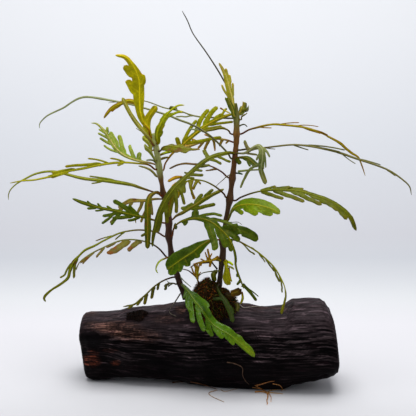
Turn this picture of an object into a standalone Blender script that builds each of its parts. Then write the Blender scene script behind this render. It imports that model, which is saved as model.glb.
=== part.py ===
"""A water plant with pinnate leaves, grown on a dark log of driftwood, in metres, +Z up.

The log lies along X on its own flat underside, at z = 0. Two upright stems grow out of a mat of moss
on top of it. The tables give each point as the plant is seen from the front: millimetres across
from the middle, millimetres up from the ground in front of the log, and millimetres of depth,
positive away from the eye. The function seen() turns such a point into a place in the model.
"""
import math
from dataclasses import dataclass

import bmesh
import bpy
from mathutils import Vector
from mathutils.bvhtree import BVHTree

# Driving dimensions
LOG_LENGTH = 0.160
MM = LOG_LENGTH / 160
GAP = 0.3 * MM
LEAF_THICKNESS = 0.5 * MM
STALK_HALF_WIDTH = 0.6 * MM
TIP_HALF_WIDTH = 0.35 * MM
LEAF_FOOT, LEAF_FOOT_RISE = 1.2 * MM, 0.3 * MM
TUBE_RESOLUTION = 2
LOG_SIDES = 26
SHARP_ANGLE = math.radians(40)
ABOVE_ALL = 1.0

# The eye that the front view is seen by
EYE_DISTANCE = 800 * MM
EYE_ELEVATION = math.radians(12)
AIM_UP = 111.8
AIM = Vector((0, 0, AIM_UP * MM))

# Base colour, roughness
COLOURS = {
    "driftwood": ((0.030, 0.024, 0.028), 0.60),
    "stem": ((0.075, 0.028, 0.018), 0.45),
    "green": ((0.115, 0.230, 0.020), 0.42),
    "dark": ((0.045, 0.110, 0.018), 0.42),
    "olive": ((0.250, 0.240, 0.020), 0.45),
    "brown": ((0.260, 0.130, 0.025), 0.50),
    "grey": ((0.200, 0.250, 0.150), 0.40),
    "moss": ((0.022, 0.016, 0.009), 0.95),
    "root": ((0.350, 0.190, 0.080), 0.70),
}


@dataclass
class Leaf:
    """One leaf: its midrib as seen from the front, and how it is cut and turned.

    left and right are the lengths of its lobes in millimetres, from stalk to tip, left as
    one walks out along its upper side, evenly spaced, and sweep turns them towards the tip, in
    degrees. A leaf that shows its face has pairs instead: where each pair of lobes starts, as
    a share of the midrib, and where the front view shows the tip of the left and the right one.
    waist is the half width between lobes at the first and the last lobe, and stalk and tip are
    the shares of the length that carry no lobes. droop turns both halves down. facing is where
    the upper side looks.
    """
    name: str
    colour: str
    path: tuple
    facing: tuple = (0, -0.3, 1)
    left: tuple = ()
    right: tuple = ()
    pairs: tuple = ()
    lobe_width: float = 3.0
    waist: tuple = (1.2, 0.8)
    stalk: float = 0.30
    tip: float = 0.15
    sweep: tuple = (55, 55)
    droop: float = 15


FACE_ON = (0, -1, 0.3)
CARRY = 0.8

# How a lobe narrows: share of its length, share of its width there
LONG_LOBE = ((0.55, 0.85), (1.0, 0.40))
SHORT_LOBE = ((1.0, 0.45),)
LONG, LEAST = 12 * MM, 2.4 * MM
PLAIN_STEP = 16 * MM

# Stem centre lines, foot to tip, with the radius at each point in millimetres
STEM_LEFT = (
    (-14, 55.5, 3, 1.9), (-15, 59, 3, 1.9), (-18, 67, 2, 1.7), (-22.3, 82.3, 1, 2.1), (-23.4, 89, 0, 1.7),
    (-24.1, 94, 0, 2.2), (-24.2, 102.5, 0, 2.1), (-24.2, 109, 0, 1.5), (-25.5, 115, 0, 1.5),
    (-27.6, 120.5, 0, 1.9), (-28.5, 126, -1, 1.4), (-30.3, 137, -2, 1.9), (-32, 149, -3, 1.7),
    (-33.8, 158, -3, 0.9),
)
STEM_RIGHT = (
    (6.6, 61, -4, 1.7), (8, 74, -3, 1.7), (9.3, 85, -2, 2.1), (8.7, 92.3, -1, 1.8), (10.2, 99, -1, 1.5),
    (12.3, 111, 0, 1.6), (13.4, 117, 0, 2.2), (14.3, 124, 1, 1.6), (15, 130, 1, 2.1),
    (15.9, 137, 1, 1.7), (17.4, 151, 3, 1.5), (17.6, 157.3, 3, 2.0), (17.6, 168, 3, 1.8),
    (16.8, 176.5, 3, 1.0),
)

LEAVES_ON_LEFT_STEM = (
    # The upright olive leaf at the top, the narrow and the stubby young ones beside it
    Leaf("leaf_left_01", "olive", ((-33, 156, -3), (-36.5, 160, -3), (-40, 165, -2), (-41.8, 171, -2),
         (-42.3, 178, -1), (-42.3, 186, 0), (-43.2, 193, 0), (-46.5, 200, -1), (-51, 205, -3),
         (-57, 206.2, -5)), facing=(0.2, -1, 0), pairs=((0.50, (-50, 190.7), None),
         (0.61, (-52, 199.8), (-39.3, 195))), lobe_width=5, waist=(4.0, 2.6), stalk=0.20, tip=0.30,
         droop=5),
    Leaf("leaf_left_02", "olive", ((-32.7, 151, -3), (-36.5, 155, -9), (-40.5, 160, -12), (-44.5, 165, -13),
         (-47.8, 170, -14), (-50.5, 175, -15), (-53, 180, -15)), facing=(0.6, -1, 0.4),
         waist=(1.4, 1.6), tip=0.10),
    Leaf("leaf_left_03", "olive", ((-33, 153.5, -3), (-36.5, 157.5, -1), (-37.6, 162, 1), (-37, 167, 2),
         (-34.5, 171, 2), (-31.6, 174.8, 2)), facing=(-0.2, -1, 0.2), waist=(2.2, 2.2), stalk=0.24,
         tip=0.14),
    Leaf("leaf_left_04", "brown", ((-32.4, 151, -3), (-37.5, 162, 5), (-43, 171, 10), (-49, 175.5, 13),
         (-55, 175.5, 15), (-60, 173, 16), (-64.5, 167.2, 16)), facing=(0.3, 0, 1), left=(1.5, 2, 1),
         right=(2, 8, 1), waist=(0.9, 1.3), stalk=0.42, tip=0.30, sweep=(60, 70)),
    Leaf("leaf_left_05", "olive", ((-32.6, 152, -3), (-31.4, 158, -7), (-29, 164, -11),
         (-25.5, 169.5, -15), (-21.5, 173.3, -18), (-18, 175.2, -20), (-14.5, 175.3, -21)),
         facing=(-0.5, -1, 0.3), left=(1.5, 1, 0.5), right=(3, 1, 0.5), waist=(2.0, 1.2), stalk=0.10,
         tip=0.40, sweep=(60, 45)),
    Leaf("leaf_left_06", "olive", ((-32, 148, -3), (-35.8, 151.4, -5), (-40.5, 156, -8)),
         facing=(0.5, -1, 0.8), waist=(1.6, 1.7), stalk=0.28, tip=0.12),
    Leaf("leaf_left_07", "olive", ((-31, 142, -2), (-35, 146.2, -10), (-39.5, 150.5, -16)),
         facing=(0.5, -1, 0.8), waist=(1.7, 2.0), stalk=0.15, tip=0.12),
    # The light green leaf at the upper left, seen face on
    Leaf("leaf_left_08", "green", ((-30.4, 138, -2), (-36.5, 139.8, 6), (-41, 140.5, 10), (-48, 142.6, 15),
         (-53, 145.2, 19), (-57, 149, 22), (-60, 153.2, 25), (-63, 158, 27), (-66, 161.5, 29),
         (-69, 163.9, 31), (-72, 164.2, 32)), facing=FACE_ON, pairs=((0.30, None, (-42, 145.8)),
         (0.38, None, (-48.4, 150.8)), (0.48, (-64.2, 150.6), (-55, 156.5)),
         (0.58, (-66.8, 155), (-60.4, 158.4)), (0.69, (-67.5, 158.3), (-62.8, 161.6)),
         (0.79, (-67, 160.8), None)), lobe_width=3, waist=(1.0, 1.0), stalk=0.24, droop=5),
    # The long arching leaves to the left
    Leaf("leaf_left_09", "olive", ((-30.2, 136.3, -2), (-36.5, 139, -8), (-43, 140, -12),
         (-54, 140.3, -17), (-67, 138.3, -21), (-77, 136.2, -24), (-88, 134.4, -27), (-96, 132, -29),
         (-108, 129.5, -31), (-122.5, 127, -32)), facing=(0, 0, 1), left=(5, 10, 13, 8, 4),
         right=(7, 12, 14, 7, 3), waist=(0.9, 0.7), stalk=0.20, tip=0.30, sweep=(70, 70), droop=-12),
    Leaf("leaf_left_10", "olive", ((-27.6, 120.5, 0), (-33.5, 121.6, 5), (-42, 124.8, 10),
         (-48, 126.4, 13), (-60.5, 128.3, 18), (-73, 129.6, 22), (-85, 132.8, 26), (-94.5, 134.7, 29),
         (-107, 132.2, 32), (-118, 127, 34), (-122, 122.5, 34), (-123.3, 116.8, 34)), facing=(0, 0, 1),
         left=(3, 6, 7, 6, 4), right=(4, 8, 8, 6, 3), waist=(1.0, 0.8), stalk=0.22, tip=0.27,
         sweep=(68, 68), droop=8),
    Leaf("leaf_left_11", "grey", ((-29.6, 131, -1), (-35, 135, 3), (-39, 137, 6), (-43, 137.8, 9)),
         waist=(0.9, 1.0), stalk=0.15, tip=0.20),
    Leaf("leaf_left_12", "olive", ((-31.8, 147, -3), (-27, 149.8, -9), (-20, 149.6, -14),
         (-13, 148.3, -18), (-5, 148, -21)), facing=(0, -0.5, 1), left=(3, 4, 2), right=(4, 4, 2),
         waist=(1.3, 1.3), stalk=0.25, sweep=(65, 65)),
    # The bright lobed leaf that reaches across to the other stem
    Leaf("leaf_left_13", "green", ((-29.9, 134, -2), (-26.3, 139.5, 2), (-22, 145.5, 3), (-17, 149.5, 4),
         (-12, 154.3, 5), (-6, 159.3, 6.5), (0, 163.6, 7.5), (6, 166.8, 8), (12, 169, 8.5)),
         facing=FACE_ON, pairs=((0.42, (-19.3, 155), (8, 155)), (0.52, (-7.2, 166), None),
         (0.63, (0.3, 172.4), (8.3, 161.2)), (0.77, (6.2, 174), (15.5, 164)),
         (0.90, (12.6, 172.6), None)), lobe_width=3.4, waist=(1.3, 1.2), stalk=0.38, tip=0.06, droop=5),
    # The hanging leaves in front of the left stem
    Leaf("leaf_left_14", "dark", ((-27.6, 120, 0), (-33, 121, -6), (-36.3, 118.6, -11), (-38, 114, -14),
         (-38.3, 107.5, -16), (-38.2, 98, -17), (-37.6, 86.8, -17)), facing=(-0.6, -0.9, 0.2),
         left=(1.5, 1.5, 1.5, 1), right=(1.5, 1.5, 1.5, 1), waist=(1.7, 1.7), stalk=0.20, tip=0.08),
    Leaf("leaf_left_15", "grey", ((-26.4, 117.4, 0), (-33, 117.3, 7), (-39.5, 116.2, 12),
         (-48, 115.6, 18), (-55.5, 112, 23)), left=(3, 3, 2), right=(4, 4, 2), waist=(1.3, 1.0)),
    Leaf("leaf_left_16", "dark", ((-24.2, 102.5, 0), (-30, 103.4, -1), (-36, 105, -2), (-41, 106.4, -4),
         (-47, 107.6, -8), (-57, 110, -12), (-67, 112, -17), (-77, 115, -21), (-83.8, 117.6, -23)),
         facing=(0, -0.9, 0.5), pairs=((0.32, (-49.3, 104), (-49, 113.2)),
         (0.39, (-57.2, 106.2), (-58.5, 116.4)), (0.54, (-61.4, 102), None),
         (0.60, (-65, 107), (-63.3, 113.2)), (0.69, (-70, 110.2), (-68.3, 114.8)),
         (0.80, (-75, 111.8), (-74.6, 117))), lobe_width=2.6, waist=(1.2, 1.6), stalk=0.24,
         tip=0.10, droop=5),
    Leaf("leaf_left_17", "olive", ((-24.1, 94, 0), (-32, 96, 5), (-39, 97.6, 9), (-46, 98, 12),
         (-54.4, 96, 15), (-66.7, 90.8, 19), (-79, 84.6, 22), (-84, 78.5, 24), (-86, 70, 25),
         (-90.2, 66.1, 26), (-97.6, 61.2, 27), (-101.2, 56.5, 28), (-99.7, 53.8, 28)),
         facing=(-0.4, 0, 1), left=(3, 5, 9, 12, 7, 3), right=(2, 6, 10, 12, 6, 3), waist=(0.8, 0.8),
         tip=0.16, sweep=(60, 60), droop=30),
    Leaf("leaf_left_18", "brown", ((-22.3, 82.3, 1), (-29.7, 86.2, -4), (-34, 89.3, -8), (-40, 91.4, -12),
         (-48.2, 92.4, -16), (-56, 91.2, -20), (-66.7, 86.5, -24), (-73, 83, -26), (-78.5, 78.8, -28),
         (-81.5, 72, -29)), facing=(-0.2, 0, 1), left=(6, 12, 7, 6, 4), right=(5, 8, 6, 5, 3),
         waist=(0.8, 0.9), stalk=0.32, tip=0.12, sweep=(50, 50), droop=50),
    Leaf("leaf_left_19", "olive", ((-18.6, 69.5, 2), (-27.8, 67.6, 5), (-32, 64.9, 7), (-36, 61.4, 9),
         (-40, 58.4, 11), (-45, 56, 12), (-53, 54, 13)), left=(3, 4, 4, 2), right=(2, 3, 3, 2),
         waist=(0.7, 0.9), stalk=0.35, tip=0.18, sweep=(45, 45), droop=35),
    Leaf("leaf_left_20", "green", ((-18, 67, 2), (-23.5, 66.2, -4), (-26.3, 64, -7), (-26.6, 60.8, -9)),
         waist=(1.2, 1.5), stalk=0.35, tip=0.20),
    # The bright leaf that hangs down the front of the log
    Leaf("leaf_left_21", "green", ((-17.2, 65.3, 2), (-14.4, 62.8, -7), (-12, 60, -13), (-10, 57, -18),
         (-7.5, 53.5, -22), (-4, 49.5, -26), (-1, 45, -29), (3, 40, -31), (8, 36.5, -34), (14, 33, -36),
         (20, 28, -38), (25, 24, -39.5), (28.8, 19.8, -40)), facing=(0.1, -1, 0.35),
         pairs=((0.20, (-5.7, 58.2), (-14, 56.2)), (0.30, (0.4, 51.6), (-11.6, 49.9)),
         (0.38, None, (-8.8, 41)), (0.45, (5.6, 41.8), (-2, 36)), (0.52, None, (3.2, 32.7)),
         (0.60, (18, 36), (9.8, 31.0)), (0.71, (23, 31.4), (15.4, 26.4))), lobe_width=3.8,
         waist=(1.6, 3.0), stalk=0.12, tip=0.10, droop=8),
    # The dark broad leaf that arches in front of the right stem and runs on down as a thin rib
    Leaf("leaf_left_22", "dark", ((-24, 95, 0), (-21, 99.6, -5), (-17, 103.3, -9), (-10, 105.3, -13),
         (-3, 105, -16), (3, 102.5, -19), (9, 97.5, -21), (13, 93, -23), (15.3, 88, -24), (16.8, 82, -24),
         (17.2, 76, -23), (19, 70, -22), (21, 65, -21), (22, 62, -20)), facing=(0, -0.8, 0.6),
         pairs=((0.19, (-16.3, 111.2), (-13, 101.4)), (0.26, (-7.5, 110), None),
         (0.32, (9.5, 107.2), None), (0.38, None, (4.5, 86.4)), (0.45, (20, 98), (8.5, 94)),
         (0.53, (31, 92.3), None), (0.60, (18.5, 91), (14.4, 84.8)),
         (0.91, (30, 54.8), (15, 58.6))), lobe_width=3.8, waist=(2.4, 0.5), stalk=0.15, tip=0.04,
         droop=8),
    Leaf("leaf_left_23", "green", ((-24.2, 104, 0), (-19.5, 107, 5), (-15.5, 109, 8), (-12, 111.4, 11),
         (-7.4, 114, 14), (-3, 117.2, 17), (2.5, 120.2, 20), (9.9, 123.6, 23)), facing=FACE_ON,
         pairs=((0.46, None, (4.8, 114)), (0.62, (-3.6, 120.8), (4.5, 117.8)),
         (0.78, (3.6, 124), (9, 120.5))), lobe_width=3.2, waist=(1.6, 1.4), stalk=0.34, tip=0.10,
         droop=5),
)

LEAVES_ON_RIGHT_STEM = (
    # The growing tip: the long upright thread, the upright olive leaf and the dark young ones
    Leaf("leaf_right_01", "grey", ((17, 175, 3), (14.6, 182.5, 6), (11, 188.5, 8), (6.5, 196.3, 11),
         (1.2, 204.6, 13), (-3, 210.7, 14), (-7, 216.2, 15), (-10, 221, 15), (-12.7, 227.5, 14),
         (-16, 233.5, 13)), facing=(0.7, -0.7, 0.3), waist=(0.8, 0.5), stalk=0.10, tip=0.30),
    Leaf("leaf_right_02", "olive", ((17.2, 174, 3), (14.8, 180, 0), (13.2, 186, -2), (12, 191, -3),
         (10, 196, -5), (6.8, 201.5, -7)), facing=(0, -1, 0), left=(4, 3, 1), right=(2, 4, 1),
         waist=(1.6, 1.9), stalk=0.12, tip=0.25, sweep=(55, 55), droop=5),
    Leaf("leaf_right_03", "dark", ((17.6, 169, 3), (15.2, 173, -1), (13.5, 177, -3), (12.4, 179.7, -4)),
         facing=(0.4, -1, 0.2), waist=(1.1, 1.4), stalk=0.10, tip=0.15),
    Leaf("leaf_right_04", "dark", ((17.5, 170, 3), (20.5, 173, 6), (21.5, 175.5, 8), (21.5, 178, 9)),
         facing=(-0.3, -1, 0), left=(0.5, 1), right=(3, 3), waist=(1.2, 1.0), stalk=0.20, tip=0.15),
    Leaf("leaf_right_05", "dark", ((17.6, 166.5, 3), (20.8, 168.5, 1), (24.3, 170.4, -1)),
         waist=(1.0, 1.2), stalk=0.10, tip=0.15),
    # The long thin leaves that reach far to the left, behind the left stem's top
    Leaf("leaf_right_06", "grey", ((17.7, 166.5, 3), (12, 167.3, 12), (5, 167.6, 17), (-5, 168.2, 21),
         (-11, 169.5, 24), (-17.5, 171.8, 27), (-27, 173.8, 30), (-36, 175.5, 33), (-49, 176.3, 36)),
         facing=(0, 0, 1), left=(4, 11, 4, 3), right=(3, 5, 4, 2), waist=(0.9, 0.9), sweep=(72, 72)),
    Leaf("leaf_right_07", "grey", ((16.6, 142, 1), (11.7, 146.3, -2), (3, 155, -4), (-4.9, 160.6, -3),
         (-11, 163.7, -2), (-17.3, 166, 0), (-24, 168.8, 3), (-31, 171, 7), (-38, 173.1, 12),
         (-48, 175.8, 18), (-60.5, 178.3, 22), (-73, 180.3, 25), (-81, 179.6, 27), (-89, 174.2, 29),
         (-97.6, 170.3, 30), (-102.5, 165.7, 31), (-104, 161.2, 31)), facing=(0, 0, 1), left=(1, 2, 1),
         right=(1, 2, 1), waist=(0.6, 0.9), stalk=0.55, tip=0.25, sweep=(70, 70)),
    Leaf("leaf_right_08", "olive", ((17.6, 157.3, 3), (12.5, 159.8, 2), (8, 161.3, 3), (3, 160.3, 3),
         (-4, 159, 3)), facing=(0, -0.8, 0.6), left=(3, 2), right=(3, 2), waist=(1.1, 1.2), stalk=0.40,
         sweep=(60, 60), droop=5),
    Leaf("leaf_right_09", "brown", ((17.4, 152, 3), (11, 153.9, 8), (3, 154.6, 12), (-5, 152.4, 16),
         (-14, 149.8, 20), (-24.7, 150.7, 24)), left=(5, 7, 7, 6, 4), right=(3, 5, 6, 5, 3),
         waist=(0.9, 0.9), stalk=0.18, tip=0.15, sweep=(45, 45), droop=55),
    # The big olive leaf that arches forward and down in front of the left stem
    Leaf("leaf_right_10", "olive", ((17, 145, 1), (10.5, 145.5, -7), (3, 143.6, -13), (-3, 140.2, -18),
         (-10, 134.3, -23), (-16, 128.7, -27), (-21.6, 123, -30), (-26.6, 115.6, -32),
         (-31, 105.7, -33), (-33.4, 95.2, -33), (-34, 88.2, -32)), facing=(-0.3, -0.9, 0.4),
         pairs=((0.15, (9, 139.3), (5, 147)), (0.24, (0, 137.6), (-2, 145)),
         (0.33, (-2.8, 131.8), (-8.6, 139.6)), (0.42, (-8.5, 128), (-15, 133.8)),
         (0.51, (-18.8, 109), (-21.5, 128.3)), (0.59, (-22, 106.8), (-27, 121.4)),
         (0.67, (-25, 102), None), (0.77, (-27.6, 103), (-34, 109)), (0.88, (-30.6, 93.5), (-36.4, 97))),
         lobe_width=4.4, waist=(2.2, 1.8), stalk=0.08, tip=0.06, droop=8),
    Leaf("leaf_right_11", "brown", ((13.6, 118, 0), (7.4, 121.5, -5), (1.2, 125.7, -9),
         (-4.9, 128.5, -12), (-9.9, 129.1, -14), (-14.8, 127.3, -16), (-18.5, 123, -17),
         (-21, 116.8, -17), (-22.2, 111, -16), (-22.9, 106.3, -15)), left=(8, 8, 6, 4),
         right=(4, 6, 4, 3), waist=(1.2, 1.2), stalk=0.36, tip=0.10, sweep=(45, 50), droop=25),
    Leaf("leaf_right_12", "green", ((15, 130, 1), (8.7, 134, 5), (3, 137.2, 8), (-2, 138.9, 12),
         (-8, 139.2, 16), (-14.2, 139.6, 20), (-19.2, 138.2, 24), (-23.7, 135.7, 28)), left=(3, 3),
         right=(3, 3), waist=(1.1, 1.2), stalk=0.40, tip=0.25, sweep=(60, 60)),
    # The long arching leaves to the right
    Leaf("leaf_right_13", "brown", ((17.6, 157.3, 3), (26, 160.2, 6), (35.2, 162.6, 9), (44.5, 163.8, 13),
         (56.8, 162.3, 18), (65.5, 159.5, 21), (75.4, 155.7, 24), (84.6, 150.2, 27), (90, 146, 29),
         (94.2, 142, 31), (95.8, 137.5, 32), (97.8, 131.6, 32)), facing=(0.2, 0, 1),
         left=(9, 9, 8, 5, 3), right=(5, 9, 8, 6, 3), waist=(0.7, 0.8), stalk=0.17, tip=0.20,
         sweep=(68, 68), droop=3),
    Leaf("leaf_right_14", "grey", ((17.2, 147.6, 2), (25, 148.3, -2), (34.6, 149, -5), (42, 149.9, -8),
         (50.7, 150.8, -11), (58, 150.6, -14), (69.2, 148.9, -18), (81.6, 145.8, -22), (92, 142.2, -25),
         (103, 138.6, -29), (112.4, 134.7, -32), (120.5, 129.1, -35), (124.5, 125, -36),
         (125.7, 119.9, -37)), facing=(0.2, 0, 1), left=(3, 7, 8, 4, 2), right=(3, 6, 8, 5, 2),
         waist=(0.7, 0.8), stalk=0.22, tip=0.18, sweep=(72, 72), droop=6),
    # The curled leaf with a silvery underside, and the dark blade behind it
    Leaf("leaf_right_15", "grey", ((17, 145.5, 1), (22, 145.6, -6), (25, 147, -9), (28.5, 149.4, -12),
         (31.5, 150.3, -14), (33.6, 147.3, -16), (33.6, 142, -17), (32.8, 136, -17), (33.5, 132, -17),
         (35.6, 126.4, -17)), facing=(0.2, -1, 0.3), pairs=((0.24, (23.4, 153.3), (30.3, 144.4)),
         (0.55, (37.8, 143.3), (30.2, 145.5)), (0.64, (35.7, 136.4), (29.6, 138.6)),
         (0.78, None, (18, 134.5)), (0.86, None, (20, 123.9))), lobe_width=2.4, waist=(1.2, 2.4),
         stalk=0.16, tip=0.08, droop=8),
    Leaf("leaf_right_16", "dark", ((16.9, 143, 1), (22.9, 142.8, -4), (27.2, 139.8, -7),
         (31, 136, -9)), facing=(0, -0.7, 0.7), left=(1.5, 1.5), right=(1.5, 1.5), waist=(2.3, 2.2),
         stalk=0.15, tip=0.20),
    # The dark broad leaf, face on, in front of the left stem
    Leaf("leaf_right_17", "dark", ((8.7, 92.3, -1), (1.2, 91.6, -8), (-4, 88.8, -13), (-9.5, 84.5, -17),
         (-16, 80.3, -20), (-25.4, 73.8, -22)), facing=(0, -1, 0.35), left=(2, 2, 2, 1),
         right=(1, 1, 1, 1), waist=(3.6, 4.2), stalk=0.30, tip=0.12, sweep=(40, 45), droop=5),
    # The broad arching leaf with long trailing lobes, and the bright one under it
    Leaf("leaf_right_18", "olive", ((13.4, 117, 0), (19.8, 118.4, -2), (26, 120, -4), (30, 121.3, -6),
         (36, 121.8, -8), (42, 122.4, -10), (50, 122.3, -12), (58, 121.3, -14), (66, 119.5, -16),
         (74, 116.8, -18), (80, 114.5, -20), (86, 111, -22), (89, 107, -23), (90.3, 103, -24),
         (90.3, 98, -24)), facing=(0.2, -0.7, 0.8), pairs=((0.23, (43, 125.4), (47.2, 117.2)),
         (0.34, (51.6, 125.2), (59.8, 115)), (0.46, (60.8, 123), (70.4, 113.4)),
         (0.57, (69.5, 120.4), (74.6, 114.7)), (0.73, None, (80.4, 109.8)), (0.84, None, (85.6, 104.3))),
         lobe_width=3.6, waist=(1.1, 2.0), stalk=0.20, tip=0.10, droop=8),
    Leaf("leaf_right_19", "green", ((11.3, 104.5, 0), (13.8, 107.5, -5), (15, 110, -8), (18, 112.4, -11),
         (23, 113.4, -15), (29, 113.4, -19), (35, 112.4, -22), (40, 110.8, -25), (44.5, 108.3, -27)),
         facing=(0, -0.8, 0.6), pairs=((0.36, (22, 116.8), (17.4, 108.8)), (0.49, (29.5, 118), (22.4, 108.2)),
         (0.64, (36.5, 116), (31.2, 107.8)), (0.79, (42.8, 113.4), (38.2, 107.2))), lobe_width=4.8,
         waist=(2.4, 3.0), stalk=0.26, tip=0.12, droop=8),
    Leaf("leaf_right_20", "olive", ((9, 90.6, -1), (14, 92.2, -3), (18.5, 91.5, -5), (24, 88.5, -8),
         (30, 84.3, -11), (36, 79.3, -14), (41, 73.8, -16), (44.8, 68.3, -18), (47.2, 62.4, -20),
         (47.9, 57, -21), (46.3, 51.5, -22), (44.3, 46.8, -22)), facing=(0.5, 0, 1),
         left=(2, 3, 3, 4, 4, 2), right=(2, 3, 3, 4, 4, 2), waist=(0.6, 1.5), stalk=0.28, tip=0.12,
         sweep=(40, 40), droop=55),
    Leaf("leaf_right_21", "olive", ((9, 79.5, -2), (11.2, 78, -5), (11.2, 73, -8), (11.8, 68, -10),
         (13.8, 64.5, -11)), facing=(0, -1, 0), left=(5, 3, 2), right=(1, 1, 1), waist=(1.8, 2.2),
         stalk=0.15, tip=0.12, sweep=(30, 40), droop=5),
    # The small leaf at the foot, which lies over the moss
    Leaf("leaf_right_22", "green", ((6.9, 65, -4), (5.6, 63, -11), (7.4, 59, -17), (11, 53.5, -22),
         (13.8, 47, -26), (15.4, 41, -29)), facing=(0.2, -1, 0.4), left=(2, 2, 1), right=(2, 2, 1),
         waist=(1.3, 1.5), stalk=0.30, tip=0.15, sweep=(50, 50), droop=8),
)

SPRIGS = (
    Leaf("sprig_upper", "brown", ((8.8, 80.8, -2), (4, 80, -6), (-1, 79, -8), (-5, 78.3, -9),
         (-9.5, 77, -10)), facing=(0, -1, 0), left=(2, 3, 3, 2), right=(4, 7, 3, 2), waist=(0.6, 0.5),
         stalk=0.20, tip=0.10, sweep=(35, 20), droop=0),
    Leaf("sprig_lower", "brown", ((-6, 66, -8), (-6.8, 69, -11), (-7.2, 72, -13), (-6.8, 75, -15),
         (-6.2, 78, -16)), facing=(0, -1, 0), left=(3, 3, 2), right=(3, 3, 2), waist=(0.6, 0.5),
         stalk=0.15, tip=0.10, sweep=(30, 30), droop=0),
)

# The log by sections: along X, underside, top, height of its fullest line, middle and half depth
LOG_SECTIONS = (
    (-80.0, 1.0, 38.6, 31.0, 8.4, 18.6), (-78.4, 0.0, 40.1, 32.0, 8.3, 19.6),
    (-75.0, -0.6, 40.7, 32.5, 8.0, 20.4), (-66.0, -0.2, 40.9, 32.5, 7.5, 21.2),
    (-58.0, 1.6, 42.0, 32.0, 6.8, 21.6), (-50.0, 2.4, 44.2, 31.0, 6.2, 22.0),
    (-40.0, 2.4, 45.3, 31.0, 5.4, 22.5), (-30.0, 2.0, 46.7, 30.5, 4.5, 23.0),
    (-20.0, 1.2, 48.8, 30.0, 3.6, 23.5), (-10.0, -0.6, 50.4, 30.0, 2.4, 24.0),
    (0.0, -1.8, 50.8, 30.5, 1.0, 24.3), (12.0, -2.2, 50.8, 31.5, -0.8, 24.6),
    (24.0, -2.2, 49.4, 32.5, -2.4, 24.8), (35.0, -2.0, 47.6, 33.0, -3.8, 25.0),
    (46.0, -1.2, 49.0, 33.5, -5.0, 25.2), (54.0, 2.4, 53.8, 34.0, -6.0, 25.2),
    (64.0, 4.8, 54.8, 34.5, -7.0, 25.0), (71.0, 7.0, 54.6, 35.0, -7.8, 24.6),
    (74.5, 8.6, 52.8, 34.5, -8.2, 24.2), (77.6, 10.8, 48.7, 33.5, -8.5, 23.4),
    (78.4, 13.0, 45.7, 32.0, -8.7, 22.0),
)
EXTRA_STATIONS = (-70, 50)
UPPER_FULLNESS, LOWER_FULLNESS = 2.25, 3.0
# A recess in the front under a ledge near the left end: where it starts and is full along X, its
# depth, and its fade above and below as a share of the section's lower half
LEDGE_START, LEDGE_FULL = -46.0, -66.0
LEDGE_DEPTH = 4.0
LEDGE_FADE_ABOVE, LEDGE_FADE_BELOW = (0.0, -0.25), (-1.0, -0.72)
# The slanting cuts at both ends: where each starts along X, its lean, and how it bulges
LEFT_CUT_START, LEFT_CUT_LEAN = -62.0, 0.10
RIGHT_CUT_START, RIGHT_CUT_LEAN = 60.0, 0.12
CUT_BULGE, CUT_INNER_RING = 0.6, 0.55

# The moss on top of the log: places along X, each with its share of the full thickness, and places
# round the log in degrees from its far side over the top
MAT_ALONG = ((-12, 0.15), (-8, 0.65), (-3, 1.0), (2, 0.95), (7, 0.50), (12, 0.40), (17, 0.15))
MAT_ROUND = (62, 73, 84, 95, 106, 117, 128, 139)
MAT_THICKNESS = 16.0
PATCH_ALONG = ((-51, 0.3), (-48.5, 0.8), (-45, 1.0), (-41.5, 0.8), (-38, 0.3))
PATCH_ROUND = (96, 105, 114, 123, 132)
PATCH_THICKNESS = 1.6
EDGE_THICKNESS = 0.5
BUMPS = 0.1

# Roots in the front view: a point with a depth hangs free, one without lies on the wood or ground
ROOT_RADIUS = 0.45
ROOTS_ON_WOOD = {
    "root_prop": ((-17, 59, -2), (-19.6, 55, -5), (-22.2, 51, -9), (-23.8, 47.6), (-22.4, 45.8),
                  (-19.6, 44.6)),
    "root_pale": ((19.5, 51.5), (22, 49.8), (26, 50.2), (30, 50.6), (34, 50.8)),
    "root_front": ((11.7, 16.6), (15.6, 16), (19.4, 14.6), (21.4, 12.8), (21.5, 8.5), (23.2, 5.2),
                   (25.3, 3.2)),
}
ROOT_ON_GROUND = ((29, -1.8), (33, -1.6), (36.6, -2.8), (37, -5), (36.4, -7), (36.8, -9))


def clear_scene():
    """Remove the objects and collections that a new scene starts with."""
    for item in list(bpy.data.objects):
        bpy.data.objects.remove(item)
    for group in list(bpy.data.collections):
        bpy.data.collections.remove(group)


def seen(across, up, depth):
    """Place of a point that the front view shows at (across, up), at this depth, all in mm."""
    x, y = across * MM, (up - AIM_UP) * MM
    sine, cosine = math.sin(EYE_ELEVATION), math.cos(EYE_ELEVATION)
    along = (depth * MM - y * sine) / (cosine + y * sine / EYE_DISTANCE)
    spread = 1 + along / EYE_DISTANCE
    return AIM + Vector((x * spread, y * spread * sine + along * cosine, y * spread * cosine - along * sine))


def eye():
    """The point from which the front view is seen."""
    back = Vector((0, -math.cos(EYE_ELEVATION), math.sin(EYE_ELEVATION)))
    return AIM + back * EYE_DISTANCE


def curve_through(points, steps=10):
    """A smooth line through the points, as many closer ones (Catmull and Rom's curve)."""
    ends = [points[0] * 2 - points[1]] + list(points) + [points[-1] * 2 - points[-2]]
    line = []
    for a, b, c, d in zip(ends, ends[1:], ends[2:], ends[3:]):
        for step in range(steps):
            t = step / steps
            line.append(0.5 * (b * 2 + (c - a) * t + (a * 2 - b * 5 + c * 4 - d) * t ** 2
                               + (b * 3 - a - c * 3 + d) * t ** 3))
    return line + [points[-1]]


def point_at(line, share):
    """The point and the direction at this share of a line's length."""
    lengths = [(b - a).length for a, b in zip(line, line[1:])]
    left = share * sum(lengths)
    for a, b, length in zip(line, line[1:], lengths):
        if left <= length or b is line[-1]:
            return a.lerp(b, left / length), (b - a).normalized()
        left -= length
    return line[-1], (line[-1] - line[-2]).normalized()


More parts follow.
